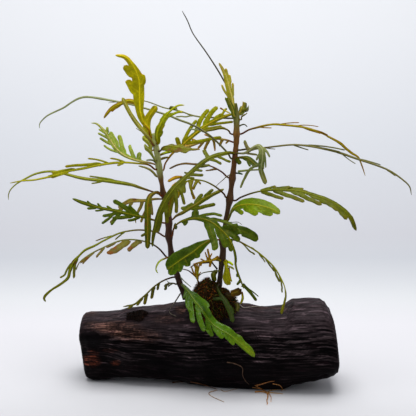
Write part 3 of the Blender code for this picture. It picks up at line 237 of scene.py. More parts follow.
LEAVES_ON_LEFT_STEM = (
    # The upright olive leaf at the top, the narrow and the stubby young ones beside it
    Leaf("leaf_left_01", "olive", ((-33, 156, -3), (-36.5, 160, -3), (-40, 165, -2), (-41.8, 171, -2),
         (-42.3, 178, -1), (-42.3, 186, 0), (-43.2, 193, 0), (-46.5, 200, -1), (-51, 205, -3),
         (-57, 206.2, -5)), ((0.15, 1.2), (0.29, 2.4, 1.9), (0.41, 3.5, 2.9), (0.54, 4.4, 3.2),
         (0.66, 3.8, 3), (0.73, 3.6, 2), (0.81, 2.3, 1.4), (0.9, 1.4, 1)), ((-43, 184, -50, 191, 4),
         (-44.5, 195, -52, 199.8, 4), (-42.8, 189, -40.5, 194.6, 2.6)), facing=(0.2, -1, 0), stalk=0.2,
         tip=0.3, droop=5, tint=(1.44, 1.3, 0.08)),
    Leaf("leaf_left_02", "olive", ((-32.7, 151, -3), (-36.5, 155, -9), (-40.5, 160, -12), (-44.5, 165, -13),
         (-47.8, 170, -14), (-50.5, 175, -15), (-53, 180, -15)), ((0.1, 1.2), (0.5, 1.5), (0.95, 1.3)),
         facing=(0.6, -1, 0.4), tip=0.1, tint=(0.98, 0.96, 1.32)),
    Leaf("leaf_left_03", "olive", ((-33, 153.5, -3), (-36.5, 157.5, -1), (-37.6, 162, 1), (-37, 167, 2),
         (-34.5, 171, 2), (-31.6, 174.8, 2)), ((0.15, 1.6), (0.4, 2.8, 1.9), (0.7, 2.6, 2.2),
         (0.92, 2.2, 2)), facing=(-0.2, -1, 0.2), stalk=0.24, tip=0.14, tint=(1.18, 1.06, 0.06)),
    Leaf("leaf_left_04", "brown", ((-32.4, 151, -3), (-37, 162, 5), (-41, 171.5, 9), (-45, 177, 11),
         (-49.4, 178, 13), (-53.5, 176.4, 14.5), (-57.8, 174.5, 15.5), (-61.1, 171.7, 16),
         (-64.4, 167.2, 16)), ((0.4, 0.7), (0.55, 1.1, 1.3), (0.75, 1.1, 1.5), (0.9, 1, 1.2)),
         ((-50, 177.8, -44.9, 175.6, 1.3), (-55, 175.8, -59.6, 171.2, 1.3)), facing=FACE_ON, stalk=0.42,
         tip=0.3, tint=(0.85, 1.14, 0.06)),
    Leaf("leaf_left_05", "olive", ((-32.6, 152, -3), (-31.4, 158, -7), (-29, 164, -11), (-25.5, 169.5, -15),
         (-21.5, 173.3, -18), (-18, 175.2, -20), (-14.5, 175.3, -21)), ((0.1, 2.4, 1.9), (0.25, 2.6, 2.5),
         (0.45, 2.5, 2.4), (0.6, 1.9, 2), (0.7, 0.7, 0.8), (0.92, 0.5)), ((-31.2, 157, -28, 160, 2.4),
         (-26, 169, -15.4, 170.9, 1.4)), facing=(-0.5, -1, 0.3), stalk=0.1, tip=0.4,
         tint=(1.05, 1.16, 0.09), spread="6c6e16 787a18 8f921c b4b43c"),
    Leaf("leaf_left_06", "olive", ((-32, 148, -3), (-35.8, 151.4, -5), (-40.5, 156, -8)),
         facing=(0.5, -1, 0.8), stalk=0.28, tip=0.12, waist=(1.6, 1.7), tint=(1.32, 1.47, 1.64)),
    Leaf("leaf_left_07", "olive", ((-31, 142, -2), (-35, 146.2, -10), (-39.5, 150.5, -16)),
         facing=(0.5, -1, 0.8), stalk=0.15, tip=0.12, waist=(1.7, 2), tint=(0.8, 0.91, 1.55)),
    # The light green leaf at the upper left, seen face on
    Leaf("leaf_left_08", "green", ((-30.4, 138, -2), (-36.5, 139.8, 6), (-41, 140.5, 10), (-48, 142.6, 15),
         (-53, 145.2, 19), (-57, 149, 22), (-60, 153.2, 25), (-63, 158, 27), (-66, 161.5, 29),
         (-69, 163.9, 31), (-72, 164.2, 32)), ((0.2, 0.7), (0.35, 0.9, 1.2), (0.5, 1.1, 2), (0.6, 1.7, 2.1),
         (0.72, 1.4), (0.85, 0.9), (0.95, 0.5)), ((-43.5, 141.2, -42.3, 146.3, 3.1),
         (-47, 142.3, -48.7, 150.9, 2.3), (-53, 145.2, -55.1, 157, 2.7), (-57.8, 150, -60.7, 159, 2.9),
         (-63.3, 158.4, -62.2, 161.9, 1.6), (-56, 147.6, -64.5, 150.7, 1.3),
         (-59.8, 152.6, -66.9, 155, 1.5), (-61.8, 156, -68.1, 158.2, 1.4), (-64, 159.4, -67.6, 160.7, 1.2)),
         facing=FACE_ON, stalk=0.24, droop=5, tint=(1.13, 0.77, 1.17)),
    # The long arching leaves to the left
    Leaf("leaf_left_09", "olive", ((-30.2, 136.3, -2), (-36.5, 138.4, -8), (-43, 139.3, -12),
         (-54, 139.9, -17), (-67, 138.4, -21), (-77, 136.2, -24), (-84, 135, -26), (-90, 133.5, -27),
         (-96, 131.6, -29), (-102, 130.2, -30), (-108, 129.1, -31), (-115, 128.6, -32),
         (-122.5, 127.2, -32)), ((0.15, 0.5), (0.45, 0.8), (0.8, 0.55), (0.95, 0.4)),
         ((-53, 140, -60.8, 142.5, 1), (-63, 139.3, -74.4, 142.3, 1), (-53.5, 139.8, -56.2, 138, 1.4),
         (-67.5, 138.4, -88.5, 137.3, 1.6), (-84, 135.2, -96.8, 133.3, 1.3), (-90, 133.6, -99.5, 131, 1.2),
         (-88, 134, -96.9, 130.4, 1.2)), facing=FACE_ON, stalk=0.2, tip=0.3, droop=-12,
         tint=(0.89, 0.91, 0.11)),
    Leaf("leaf_left_10", "olive", ((-27.6, 120.5, 0), (-33.5, 121.6, 5), (-42, 124.4, 10), (-48, 126.3, 13),
         (-60.5, 128.4, 18), (-73, 129.5, 22), (-80, 130.7, 24), (-86, 132.3, 26), (-91, 133.7, 28),
         (-96, 134.4, 30), (-101, 134.2, 31), (-107, 132.8, 32), (-112, 130.4, 33), (-118, 127, 34),
         (-122, 123.2, 34), (-123.3, 120, 34), (-123.4, 116.8, 34)), ((0.08, 0.5), (0.18, 1),
         (0.3, 1.3, 1.2), (0.42, 1.1), (0.55, 0.9), (0.7, 0.7), (0.95, 0.35)),
         ((-57.5, 128.4, -73.4, 131.5, 1), (-66, 128.6, -72.2, 127, 0.9)), facing=FACE_ON, stalk=0.22,
         tip=0.27, droop=8, tint=(0.57, 0.66, 0.27)),
    Leaf("leaf_left_11", "grey", ((-29.6, 131, -1), (-35, 135, 3), (-39, 137, 6), (-43, 137.8, 9)),
         stalk=0.15, tip=0.2, waist=(0.9, 1), tint=(0.62, 0.47, 0.06)),
    Leaf("leaf_left_12", "olive", ((-31.8, 147, -3), (-27, 149.8, -9), (-20, 149.6, -14), (-13, 148.3, -18),
         (-5, 148, -21)), facing=(0, -0.5, 1), stalk=0.25, waist=(1.3, 1.3), left=(3, 4, 2),
         right=(4, 4, 2), tint=(0.4, 0.43, 0.06), spots="5e3e10"),
    # The bright lobed leaf that reaches across to the other stem
    Leaf("leaf_left_13", "green", ((-29.9, 134, -2), (-26.3, 139.5, 2), (-22, 145.5, 3), (-17, 149.5, 4),
         (-12, 154.3, 5), (-6, 159.3, 6.5), (0, 163.6, 7.5), (6, 166.8, 8), (12, 169, 8.5), (15.4, 170, 8)),
         ((0.35, 0.8), (0.45, 1.4), (0.6, 1.3), (0.75, 1.5), (0.9, 1.2), (0.97, 0.8)),
         ((-17.2, 150.6, -19.4, 155.7, 2.8), (-14, 152.8, -6.8, 166.3, 2), (-5.6, 159.6, 0.6, 172.9, 2.5),
         (0.2, 162.8, 6, 174.5, 2.7), (5.6, 166, 8.8, 169.9, 1.8), (9, 168.2, 11.8, 173.6, 1.4),
         (1.5, 163.4, 15.7, 165.1, 1.5), (-2.2, 161.5, 8.6, 162.5, 1.2), (-13, 153.3, 8.4, 155.5, 1.9)),
         facing=FACE_ON, stalk=0.38, tip=0.06, droop=5, tint=(1.15, 0.65, 0.06),
         spread="7a6a20 6c9a20 78a024"),
    # The hanging leaves in front of the left stem
    Leaf("leaf_left_14", "dark", ((-27.6, 120, 0), (-30.5, 121.4, -4), (-33, 121.2, -6), (-36, 119, -11),
         (-37.2, 114, -14), (-37.3, 107.5, -16), (-37.2, 98, -17), (-37.4, 86.6, -17)), ((0.15, 1),
         (0.3, 1.5), (0.45, 2), (0.7, 2.1, 2.2), (0.95, 1.6)), ((-38.2, 95.5, -41.4, 94.2, 1.5),),
         facing=(-0.1, -1, 0.2), stalk=0.2, tip=0.08, tint=(1.78, 0.78, 0.08), spots="5e3a0c"),
    Leaf("leaf_left_15", "grey", ((-26.4, 117.4, 0), (-33, 117.3, 7), (-39.5, 116.2, 12), (-48, 115.6, 18),
         (-55.5, 112, 23)), ((0.2, 0.7), (0.5, 0.9, 1.3), (0.75, 0.9, 2.2), (0.95, 0.8, 1.4)),
         ((-41.6, 115.8, -44.6, 102.4, 1.8), (-38.6, 116.4, -41.5, 102.8, 1.6),
         (-35.8, 116.9, -34.3, 107.2, 1.8), (-48, 115.4, -50.6, 108.2, 2),
         (-52.5, 113.2, -60.4, 102.6, 1.6), (-53.5, 112.8, -64.4, 103.6, 0.9)), facing=FACE_ON,
         tint=(0.91, 0.57, 0.1), spots="683e0e"),
    Leaf("leaf_left_16", "dark", ((-24.2, 102.5, 0), (-30, 103.4, -1), (-36, 105, -2), (-41, 106.4, -4),
         (-47, 107.6, -8), (-57, 110, -12), (-67, 112, -17), (-77, 115, -21), (-83.8, 117.6, -23)),
         ((0.25, 0.8), (0.4, 1.3), (0.6, 1), (0.72, 0.9), (0.8, 1.2), (0.9, 1.2, 1.1), (0.97, 0.8)),
         ((-73.2, 113.8, -74.9, 116.2, 1), (-70.5, 112.8, -74.8, 111.6, 1.5),
         (-66.8, 112, -68.6, 114.7, 1.3), (-65.5, 111.6, -69.9, 110.1, 1.1),
         (-60.6, 110.8, -62.9, 113.1, 1.2), (-47.5, 107.8, -58.8, 116.4, 2.9),
         (-44.2, 107.2, -49.4, 113.5, 2.1), (-48, 107.7, -59.1, 105.6, 2.1),
         (-43.5, 106.8, -49.8, 104.1, 1.6), (-56.5, 109.9, -65.4, 106.8, 1.9),
         (-58, 110.2, -65.8, 102.2, 1.5), (-55.5, 109.6, -60, 101.3, 1.9)), facing=(0, -0.9, 0.5),
         stalk=0.24, tip=0.1, droop=5, tint=(1.37, 0.8, 0.06)),
    Leaf("leaf_left_17", "olive", ((-24.1, 94, 0), (-32, 97, 5), (-41.5, 98.2, 9), (-48.9, 97.6, 12),
         (-55.1, 96.1, 15), (-62.5, 92.6, 18), (-69.9, 88.7, 20), (-76.1, 85.8, 21), (-80.4, 81.5, 22),
         (-83.5, 77.8, 23), (-85.4, 72.9, 24), (-86.6, 68.5, 25), (-90.9, 64.8, 26), (-95.9, 61.7, 27),
         (-99.6, 58.6, 28), (-101.1, 56.2, 28), (-100.2, 54.1, 28)), ((0.1, 0.45), (0.4, 0.6), (0.6, 0.6),
         (0.68, 1.1), (0.78, 0.9), (0.9, 0.6), (0.97, 0.9)), ((-53, 96.6, -57.5, 92.2, 0.9),
         (-68, 89.8, -88.6, 76.2, 0.8), (-82, 79.8, -83, 68.2, 1.7), (-84, 76.6, -91.6, 68.6, 1.2),
         (-60, 93.9, -69.5, 91.4, 0.7)), facing=FACE_ON, tip=0.16, droop=10, tint=(0.52, 0.6, 0.09),
         spots="5a3a10"),
    Leaf("leaf_left_18", "brown", ((-22.3, 82.3, 1), (-29.7, 86.2, -4), (-34, 89.3, -8), (-40, 91.4, -12),
         (-48.2, 92.4, -16), (-56, 91.2, -20), (-66.7, 86.6, -24), (-73, 83.3, -26), (-78.2, 79.6, -28),
         (-80.3, 76.5, -29), (-82.2, 71.4, -29)), ((0.1, 0.5), (0.4, 0.7), (0.6, 0.9), (0.85, 0.6),
         (0.95, 0.4)), ((-43.6, 91.9, -49.5, 85.3, 3), (-51.5, 91.8, -62, 83.1, 4),
         (-65.8, 86.9, -69.2, 81.3, 1.4), (-71.5, 84.3, -77.4, 77, 1.1), (-72.5, 83.6, -78.8, 77.6, 1.2),
         (-59, 90.2, -63, 87.3, 1.4)), facing=(-0.2, 0, 1), stalk=0.32, tip=0.12, droop=50,
         tint=(0.4, 0.65, 0.82), spots="6e3c0c"),
    Leaf("leaf_left_19", "olive", ((-18.6, 69.3, 2), (-22, 69, 3), (-26, 67.7, 3), (-30, 65.6, 3),
         (-34, 62.7, 2), (-38, 58.9, 0), (-41.5, 55.9, -2), (-45, 52.9, -4), (-48, 51.9, -6),
         (-52.5, 51, -7)), ((0.1, 0.5), (0.4, 0.6), (0.7, 0.8), (0.9, 0.9), (0.97, 0.5)),
         ((-31.2, 64.6, -31.4, 61, 1.5), (-34.9, 62, -35.2, 55.6, 2), (-39.2, 57.6, -39.2, 51.8, 2),
         (-41.8, 55.4, -44.2, 51.4, 1.6), (-47.6, 52, -49.8, 49.6, 1.4)), stalk=0.35, tip=0.18, droop=35,
         tint=(0.28, 0.27, 0.06)),
    Leaf("leaf_left_20", "green", ((-18, 65.9, 2), (-21, 65.3, -2), (-23.5, 65.4, -5), (-25.6, 64.6, -7),
         (-26.9, 63, -9)), ((0.2, 0.5), (0.6, 0.8), (0.95, 0.8)), ((-23.2, 65.4, -25.6, 66.8, 1.2),
         (-22.8, 65.2, -24.6, 62.9, 0.8), (-26, 64.6, -26.7, 60.9, 1.8)), stalk=0.35, tip=0.2,
         tint=(0.16, 0.1, 0.06)),
    # The bright leaf that hangs down the front of the log
    Leaf("leaf_left_21", "green", ((-17.2, 65.3, 2), (-14.4, 62.8, -7), (-12, 60, -13), (-10, 57, -18),
         (-7.5, 53.5, -22), (-4, 49.5, -26), (-1, 45, -29), (3, 40, -31), (8, 36.5, -34), (14, 33, -36),
         (20, 28, -38), (25, 24, -39.5), (28.8, 19.8, -40)), ((0.08, 1.2, 0.9), (0.2, 1.8, 1),
         (0.31, 2.4, 1.1), (0.4, 3.6, 1.2), (0.49, 3.2, 1.2), (0.59, 3.4, 1.3), (0.7, 4.3, 1.4),
         (0.77, 3.1, 1.5), (0.82, 3.8, 1.6), (0.88, 2.8, 1.9), (0.93, 2.5, 1.9), (0.97, 1.8, 1.4)),
         ((-10.5, 58.6, 0.6, 50.5, 3), (-12.6, 61, -14.9, 56, 1.7), (-11.2, 59, -12, 49.5, 2.2),
         (-9.3, 56, -8.8, 40.6, 3.1), (-5.4, 50.6, -1.9, 35.5, 3.1), (1.4, 41.8, 3.1, 32.3, 2.6),
         (6, 39, 9.6, 31.4, 2.9), (12.8, 34.6, 16.4, 27.3, 2.9)), facing=(0.1, -1, 0.35), stalk=0.12,
         tip=0.1, droop=8, tint=(0.3, 0.36, 0.06), spread="4f7a14 5f8a1c 6c9a20 86b028 c8cc3c", skin="wet"),
    # The dark broad leaf that arches in front of the right stem and runs on down as a thin rib
    Leaf("leaf_left_22", "dark", ((-24, 95, 0), (-21, 99.6, -5), (-17, 103.3, -9), (-10, 105.3, -13),
         (-3, 105, -16), (3, 102.5, -19), (9, 97.5, -21), (13, 93, -23), (15.3, 88, -24), (16.8, 82, -24),
         (17.2, 76, -23), (19, 70, -22), (21, 65, -21), (22, 62, -20)), ((0.12, 0.5), (0.22, 0.8),
         (0.3, 1.6, 1.2), (0.4, 2.4, 2.2), (0.47, 2.2, 2.4), (0.54, 1.4, 1.8), (0.6, 0.7, 0.8),
         (0.92, 0.6)), ((-20, 101, -21.8, 100, 2.6), (-14, 104.3, -13.2, 101.2, 3.6),
         (-8.5, 105.4, -8, 110.5, 4.2), (-5, 105.3, 9, 106.8, 1.8), (1, 103.4, 19.3, 98.5, 2),
         (1.5, 103.2, 4.2, 85.5, 4.4), (8.2, 98.4, 11.2, 87.1, 4.2), (10, 95.6, 31.2, 92.4, 4.8),
         (10.5, 96.2, 19.6, 91, 3.6), (13.6, 91.6, 14.4, 84.7, 2.7), (19, 70.6, 18.1, 69, 1.5),
         (20.4, 66.8, 17.8, 64.2, 1.5), (21.6, 63.4, 30, 54.4, 1.8), (22, 62.6, 31.3, 57, 0.7)),
         facing=(0, -0.8, 0.6), stalk=0.15, tip=0.04, droop=8, tint=(1.41, 0.79, 0.06)),
    Leaf("leaf_left_23", "green", ((-24.2, 104, 0), (-19.5, 107, 5), (-15.5, 109, 8), (-12, 111.4, 11),
         (-7.4, 114, 14), (-3, 117.2, 17), (2.5, 120.2, 20), (9.9, 123.6, 23)), ((0.3, 1.2),
         (0.5, 1.3, 1.6), (0.7, 1.2, 1.9), (0.9, 0.9, 1.2)), ((-6.2, 115, -3.2, 120.5, 2.4),
         (-0.5, 118.6, 3.4, 123.4, 2), (-9.5, 112.6, 4.7, 114.2, 2.3), (-12.5, 111.2, -9.2, 114.8, 2),
         (-13, 110.6, -16.8, 111.4, 2.4)), facing=FACE_ON, stalk=0.34, tip=0.1, droop=5,
         tint=(0.52, 0.33, 0.06)),
)

LEAVES_ON_RIGHT_STEM = (
    # The growing tip: the long upright thread, the upright olive leaf and the dark young ones
    Leaf("leaf_right_01", "grey", ((17, 175, 3), (14.6, 182.5, 6), (11, 188.5, 8), (6.5, 196.3, 11),
         (1.2, 204.6, 13), (-3, 210.7, 14), (-7, 216.2, 15), (-10, 221, 15), (-12.7, 227.5, 14),
         (-16, 233.5, 13)), ((0.03, 0.9), (0.17, 1), (0.26, 0.5), (0.92, 0.32)), facing=(0.7, -0.7, 0.3),
         stalk=0.1, tip=0.3, tint=(0.13, 0.1, 0.06)),
    Leaf("leaf_right_02", "olive", ((17.2, 174, 3), (14.8, 180, 0), (13.2, 186, -2), (12, 191, -3),
         (10, 196, -5), (6.8, 201.5, -7)), ((0.1, 1, 0.9), (0.25, 2, 1.2), (0.4, 2.3, 0.8),
         (0.55, 2.2, 1.6), (0.68, 1.8, 0.9), (0.8, 1.3, 0.9), (0.93, 0.8, 0.7)),
         ((14.8, 180, 8.4, 188.1, 1.3), (14.3, 182, 15.2, 189.3, 1.5), (12.4, 189.5, 13, 194.3, 1.6),
         (11, 193.5, 10.8, 198.2, 1.4)), facing=(0, -1, 0), stalk=0.12, tip=0.25, droop=5,
         tint=(1.71, 1.55, 2.03)),
    Leaf("leaf_right_03", "dark", ((17.6, 169, 3), (15.2, 173, -1), (13.5, 177, -3), (12.4, 179.7, -4)),
         ((0.1, 1.6), (0.5, 1.5, 1.6), (0.95, 0.9)), ((15.8, 172, 10.5, 180.2, 1.6),),
         facing=(0.4, -1, 0.2), stalk=0.1, tint=(2.6, 1.29, 0.53)),
    Leaf("leaf_right_04", "dark", ((17.5, 170, 3), (20.5, 173, 6), (21.5, 175.5, 8), (21.5, 178, 9)),
         ((0.1, 1), (0.5, 1.4), (0.95, 1.1)), ((20.4, 172.8, 25.1, 175.1, 1.7),
         (18.6, 170.9, 25.5, 173.4, 1.2)), facing=(-0.3, -1, 0), stalk=0.2, tint=(2.21, 0.95, 0.25)),
    Leaf("leaf_right_05", "dark", ((17.6, 166.5, 3), (20.8, 168.5, 1), (24.3, 170.4, -1)), ((0.1, 0.8),
         (0.6, 1.3, 1.2), (0.95, 1, 0.9)), stalk=0.1, tint=(1.46, 0.57, 0.06)),
    # The long thin leaves that reach far to the left, behind the left stem's top
    Leaf("leaf_right_06", "grey", ((17.7, 166.5, 3), (12, 167.3, 12), (5, 167.6, 17), (-5, 168.2, 21),
         (-11, 169.5, 24), (-17.5, 171.8, 27), (-27, 173.8, 30), (-36, 177.1, 33), (-42, 178.4, 34),
         (-49, 178.5, 35), (-55, 177.6, 35), (-61.5, 176.7, 35)), ((0.1, 0.4), (0.4, 0.6), (0.58, 0.9),
         (0.7, 0.9), (0.8, 0.6), (0.95, 0.5)), ((-10, 169.2, -20, 167.9, 1.3),
         (-16, 171, -24.3, 170.4, 1.3), (-5.5, 168.2, -8.6, 170.3, 1), (-25, 173.6, -22.8, 174.8, 1)),
         facing=(0, 0, 1), tint=(0.42, 0.37, 0.06)),
    Leaf("leaf_right_07", "grey", ((16.6, 142, 1), (11.7, 146.3, -2), (3, 155, -4), (-4.9, 160.6, -3),
         (-11, 163.7, -2), (-17.3, 166, 0), (-24, 168.8, 3), (-31, 171, 7), (-38, 173.1, 12),
         (-48, 175.8, 18), (-60.5, 178.3, 22), (-73, 180.3, 25), (-79, 179.7, 27), (-84, 177.2, 28),
         (-89, 173.8, 29), (-94.5, 171.2, 30), (-99, 168.9, 30), (-102.3, 166, 31), (-103.9, 163.6, 31),
         (-104, 161.2, 31)), ((0.1, 0.6), (0.3, 0.65), (0.5, 0.5), (0.68, 0.75), (0.8, 0.6), (0.95, 0.4)),
         ((-5.5, 161, -11.8, 160.6, 0.9),), facing=(0, -1, 0.4), stalk=0.55, tip=0.25,
         tint=(0.83, 0.8, 0.57)),
    Leaf("leaf_right_08", "olive", ((17.6, 157.3, 3), (12.5, 159.8, 2), (8, 161.3, 3), (3, 160.3, 3),
         (-4, 159, 3)), ((0.3, 0.5), (0.45, 1), (0.95, 0.8)), facing=(0, -0.8, 0.6), stalk=0.4, droop=5,
         tint=(0.36, 0.35, 0.06)),
    Leaf("leaf_right_09", "brown", ((17.4, 152, 3), (11, 153.9, 8), (3, 154.6, 12), (-5, 152.4, 16),
         (-14, 149.8, 20), (-24.7, 150.7, 24)), ((0.15, 0.6), (0.4, 0.9), (0.7, 1), (0.95, 0.7)),
         ((8.5, 154.6, 7, 149.8, 1.7), (3.5, 154.4, 4.3, 146.8, 1.8), (-0.5, 153.4, -2.5, 147.6, 1.8),
         (-4, 152.6, -6.4, 148.6, 1.4), (12.3, 153.6, 10.8, 151.6, 1.2), (1.5, 154.6, -2.3, 157.2, 1),
         (-7, 151.8, -10, 154.2, 1.4)), facing=(0, -1, 0.4), stalk=0.18, droop=12, tint=(1.01, 1.2, 1.03)),
    # The big olive leaf that arches forward and down in front of the left stem
    Leaf("leaf_right_10", "olive", ((17, 145, 1), (10.5, 145.5, -7), (3, 143.6, -13), (-3, 140.2, -18),
         (-10, 134.3, -23), (-16, 128.7, -27), (-21.6, 123, -30), (-26.6, 115.6, -32), (-31, 105.7, -33),
         (-33.4, 95.2, -33), (-34, 88.2, -32)), ((0.05, 1.2, 1), (0.15, 1.5), (0.3, 1.5), (0.45, 1.5),
         (0.6, 2.2, 2.3), (0.75, 2.2, 2), (0.88, 1.5, 1.3), (0.96, 0.9)), ((1, 143.2, -2.6, 147.9, 2.2),
         (-12.2, 132.6, -14.8, 133.7, 1.1), (6.5, 144.6, 14.2, 140.2, 1.6), (1.8, 143, 8.6, 139.2, 2),
         (-4.6, 138.8, 1.4, 138.2, 1.6), (-7.5, 136.4, -3.2, 134.8, 1.6), (-10.4, 134, -2.7, 132.1, 1.8),
         (-13.2, 131.4, -8.2, 130.2, 1.6), (-17.4, 127.6, -14.8, 120.8, 2.6),
         (-19.4, 125.4, -14.6, 113.8, 1.9), (-21.8, 122.8, -19.6, 108.4, 2.2),
         (-27.8, 113.4, -25.4, 102.2, 2.5), (-30.4, 107, -31.4, 96.4, 2.4)), facing=(-0.3, -0.9, 0.4),
         stalk=0.08, tip=0.06, droop=8, tint=(0.29, 0.33, 0.06), spread="a8a850 8f8f24 80801a 6c6c14"),
    Leaf("leaf_right_11", "brown", ((13.6, 118, 0), (10, 120.4, -3), (6.5, 123.6, -6), (3, 126, -8),
         (-1, 128, -10), (-4.9, 129.1, -12), (-9.9, 129.3, -14), (-14.8, 127.6, -16), (-18.5, 123, -17),
         (-21, 116.8, -17), (-22.2, 111, -16), (-22.9, 106.3, -15)), ((0.2, 0.45), (0.45, 0.9), (0.7, 1.1),
         (0.95, 0.8)), ((-7.5, 129.3, -9.2, 123, 1.9), (-11.8, 128.8, -8.4, 117, 2.4),
         (-6.5, 129.2, -4.4, 126.2, 1.2), (-16, 126.6, -19.2, 117.5, 2)), stalk=0.36, tip=0.1, droop=25,
         tint=(0.56, 0.92, 0.06)),
    Leaf("leaf_right_12", "green", ((15, 130, 1), (8.7, 134, 5), (3, 137.2, 8), (-2, 138.4, 12),
         (-8, 138.6, 16), (-14.2, 139, 20), (-19.2, 138, 24), (-23.7, 135.7, 28)), ((0.2, 0.45), (0.5, 0.9),
         (0.8, 1.2, 1.1), (0.95, 0.8)), ((4.5, 136.6, -1.6, 134.8, 1.4),), stalk=0.4, tip=0.25,
         tint=(0.45, 0.15, 0.06), spots="68440e"),
    # The long arching leaves to the right
    Leaf("leaf_right_13", "brown", ((17.6, 157.3, 3), (25.3, 160.1, 6), (30.4, 161.6, 8), (35.5, 162.9, 9),
         (40.7, 163.5, 12), (45.8, 163.2, 14), (56, 162.2, 18), (61.2, 161.1, 19), (66.3, 159.6, 21),
         (71.5, 157.3, 23), (76.6, 154.7, 24), (81.7, 151.8, 26), (84.8, 148.9, 27), (88.9, 145.6, 29),
         (92.5, 143.4, 30), (94.1, 140.5, 31), (95.6, 136.4, 32), (97.1, 131.7, 32)), ((0.1, 0.55),
         (0.4, 0.7), (0.6, 0.6), (0.72, 0.9, 0.8), (0.82, 0.9, 0.8), (0.9, 0.45)),
         ((28, 161, 46.8, 165.6, 0.6), (46, 163.3, 56.4, 164.5, 0.6), (56, 162.2, 68.4, 161.9, 0.5),
         (33, 162.3, 39.4, 161.2, 0.6), (60, 161.2, 70, 157.7, 0.9), (78, 154, 96.1, 141.5, 0.6)),
         facing=FACE_ON, stalk=0.17, tip=0.2, droop=3, tint=(0.75, 0.91, 0.06)),
    Leaf("leaf_right_14", "grey", ((17.2, 147.6, 2), (25, 148.3, -2), (34.6, 149, -5), (42, 149.9, -8),
         (50.7, 150.8, -11), (58, 150.6, -14), (69.2, 148.9, -18), (81.6, 145.8, -22), (92, 142.2, -25),
         (103, 138.6, -29), (112.4, 134.7, -32), (120.5, 129.1, -35), (124.5, 125, -36),
         (125.7, 119.9, -37)), ((0.1, 0.45), (0.4, 0.6), (0.6, 0.7), (0.75, 0.6), (0.92, 0.45)),
         ((54, 150.8, 62.3, 147.6, 0.7), (37, 149.3, 41.9, 148.2, 0.5), (62, 150.2, 84.8, 147.5, 0.8),
         (84, 144.9, 91.4, 139, 0.5), (94, 141.5, 107, 138.3, 0.6), (111.5, 135, 116, 131.4, 0.6),
         (60, 150.4, 74, 147.6, 0.7)), facing=FACE_ON, stalk=0.22, tip=0.18, droop=6,
         tint=(0.45, 0.35, 0.11)),
    # The curled leaf whose underside shows a painted grey sheen of reflected sky, and the dark blade behind
    # it
    Leaf("leaf_right_15", "grey", ((17, 145.5, 1), (22, 145.6, -6), (25, 147, -9), (28.5, 149.4, -12),
         (31.5, 150.3, -14), (33.6, 147.3, -16), (33.6, 142, -17), (32.8, 136, -17), (33.5, 132, -17),
         (35.6, 126.4, -17)), ((0.15, 0.6), (0.3, 0.8, 1), (0.42, 1, 1.4), (0.5, 1.3, 2), (0.6, 1.6, 2.5),
         (0.72, 1.5, 2.2), (0.8, 1.4, 1.6), (0.88, 2, 1.4), (0.96, 1.8, 1.2)), ((25, 147, 22.2, 153.6, 2.4),
         (24.4, 146.6, 30.7, 144.4, 1.2), (33.9, 147.6, 38.2, 143, 1.2), (33.8, 145.5, 35.7, 136.5, 0.9),
         (33.6, 145, 29.8, 141.1, 1.3), (32.7, 135.6, 18.2, 134.3, 0.6), (32.6, 137.6, 19.9, 124, 1.1)),
         facing=(0.2, -1, 0.3), stalk=0.16, tip=0.08, droop=8, tint=(0.75, 0.7, 0.43),
         spread="6f7860 8a7c54 7f8a5c 4a6420 8a8420"),
    Leaf("leaf_right_16", "dark", ((16.9, 143, 1), (21, 143.2, -3), (24.3, 142.6, -5), (27.3, 140.4, -7),
         (30.6, 137, -9)), ((0.2, 1), (0.5, 2.2, 2.1), (0.9, 2, 1.9)), ((19, 143.2, 20.3, 139.1, 2.6),
         (25.6, 141.4, 26.2, 137.2, 1.4)), facing=(0, -0.7, 0.7), stalk=0.15, tip=0.2,
         tint=(1.28, 0.66, 0.06)),
    # The dark broad leaf, face on, in front of the left stem
    Leaf("leaf_right_17", "dark", ((8.7, 92.3, -1), (1.2, 91.6, -8), (-4, 88.8, -13), (-9.5, 84.5, -17),
         (-16, 80.3, -20), (-25.4, 73.8, -22)), ((0.12, 0.5), (0.25, 1.4, 1.2), (0.38, 2.8, 2.6),
         (0.5, 3.8, 4), (0.65, 4.2, 5.6), (0.8, 4, 6.2), (0.9, 3.6, 5.6), (0.97, 2.8, 3.6)),
         ((-9, 85, -6.4, 80.7, 3), (-15, 81, -12.2, 75.6, 3.6), (-19, 78.3, -18.4, 72.4, 3.4),
         (-23, 75.4, -24.6, 71.1, 4)), facing=(0, -1, 0.35), tip=0.12, droop=5, tint=(1.64, 0.99, 0.06),
         spread="5c6a24 355a18 2a4a10 2c5212"),
    # The broad arching leaf with long trailing lobes, and the bright one under it
    Leaf("leaf_right_18", "olive", ((13.4, 117, 0), (19.8, 118.2, -2), (25.3, 120.4, -4), (30.4, 121.8, -6),
         (36, 122.6, -8), (42, 123.2, -10), (50, 122.9, -12), (58, 121.9, -14), (66, 119.6, -16),
         (73, 117.2, -18), (79, 114.2, -20), (84, 110.2, -22), (87.2, 105.8, -23), (89.2, 101.5, -24),
         (90.2, 98, -24)), ((0.2, 0.5), (0.3, 0.9), (0.45, 1.4), (0.6, 1.6), (0.75, 1.6, 1.8),
         (0.85, 1.4, 2.2), (0.93, 1.1, 1.9), (0.97, 0.8, 1.1)), ((34, 122.3, 42.2, 125.3, 1.9),
         (42, 123.2, 51, 124.8, 2), (51, 122.9, 59.2, 123.6, 1.8), (35, 122.4, 46.8, 117.4, 2.2),
         (43, 123.1, 59.7, 115.5, 2.6), (54, 122.4, 70.4, 113.7, 2.6), (64, 120.2, 74.2, 114.9, 2),
         (70, 118.4, 80.7, 110, 2.8), (79, 114.2, 85.8, 104.6, 3)), facing=(0.2, -0.7, 0.8), stalk=0.2,
         tip=0.1, droop=8, tint=(0.34, 0.4, 0.06)),
    Leaf("leaf_right_19", "green", ((11.3, 104.5, 0), (13.8, 107.5, -5), (15, 110.4, -8), (18, 112.9, -11),
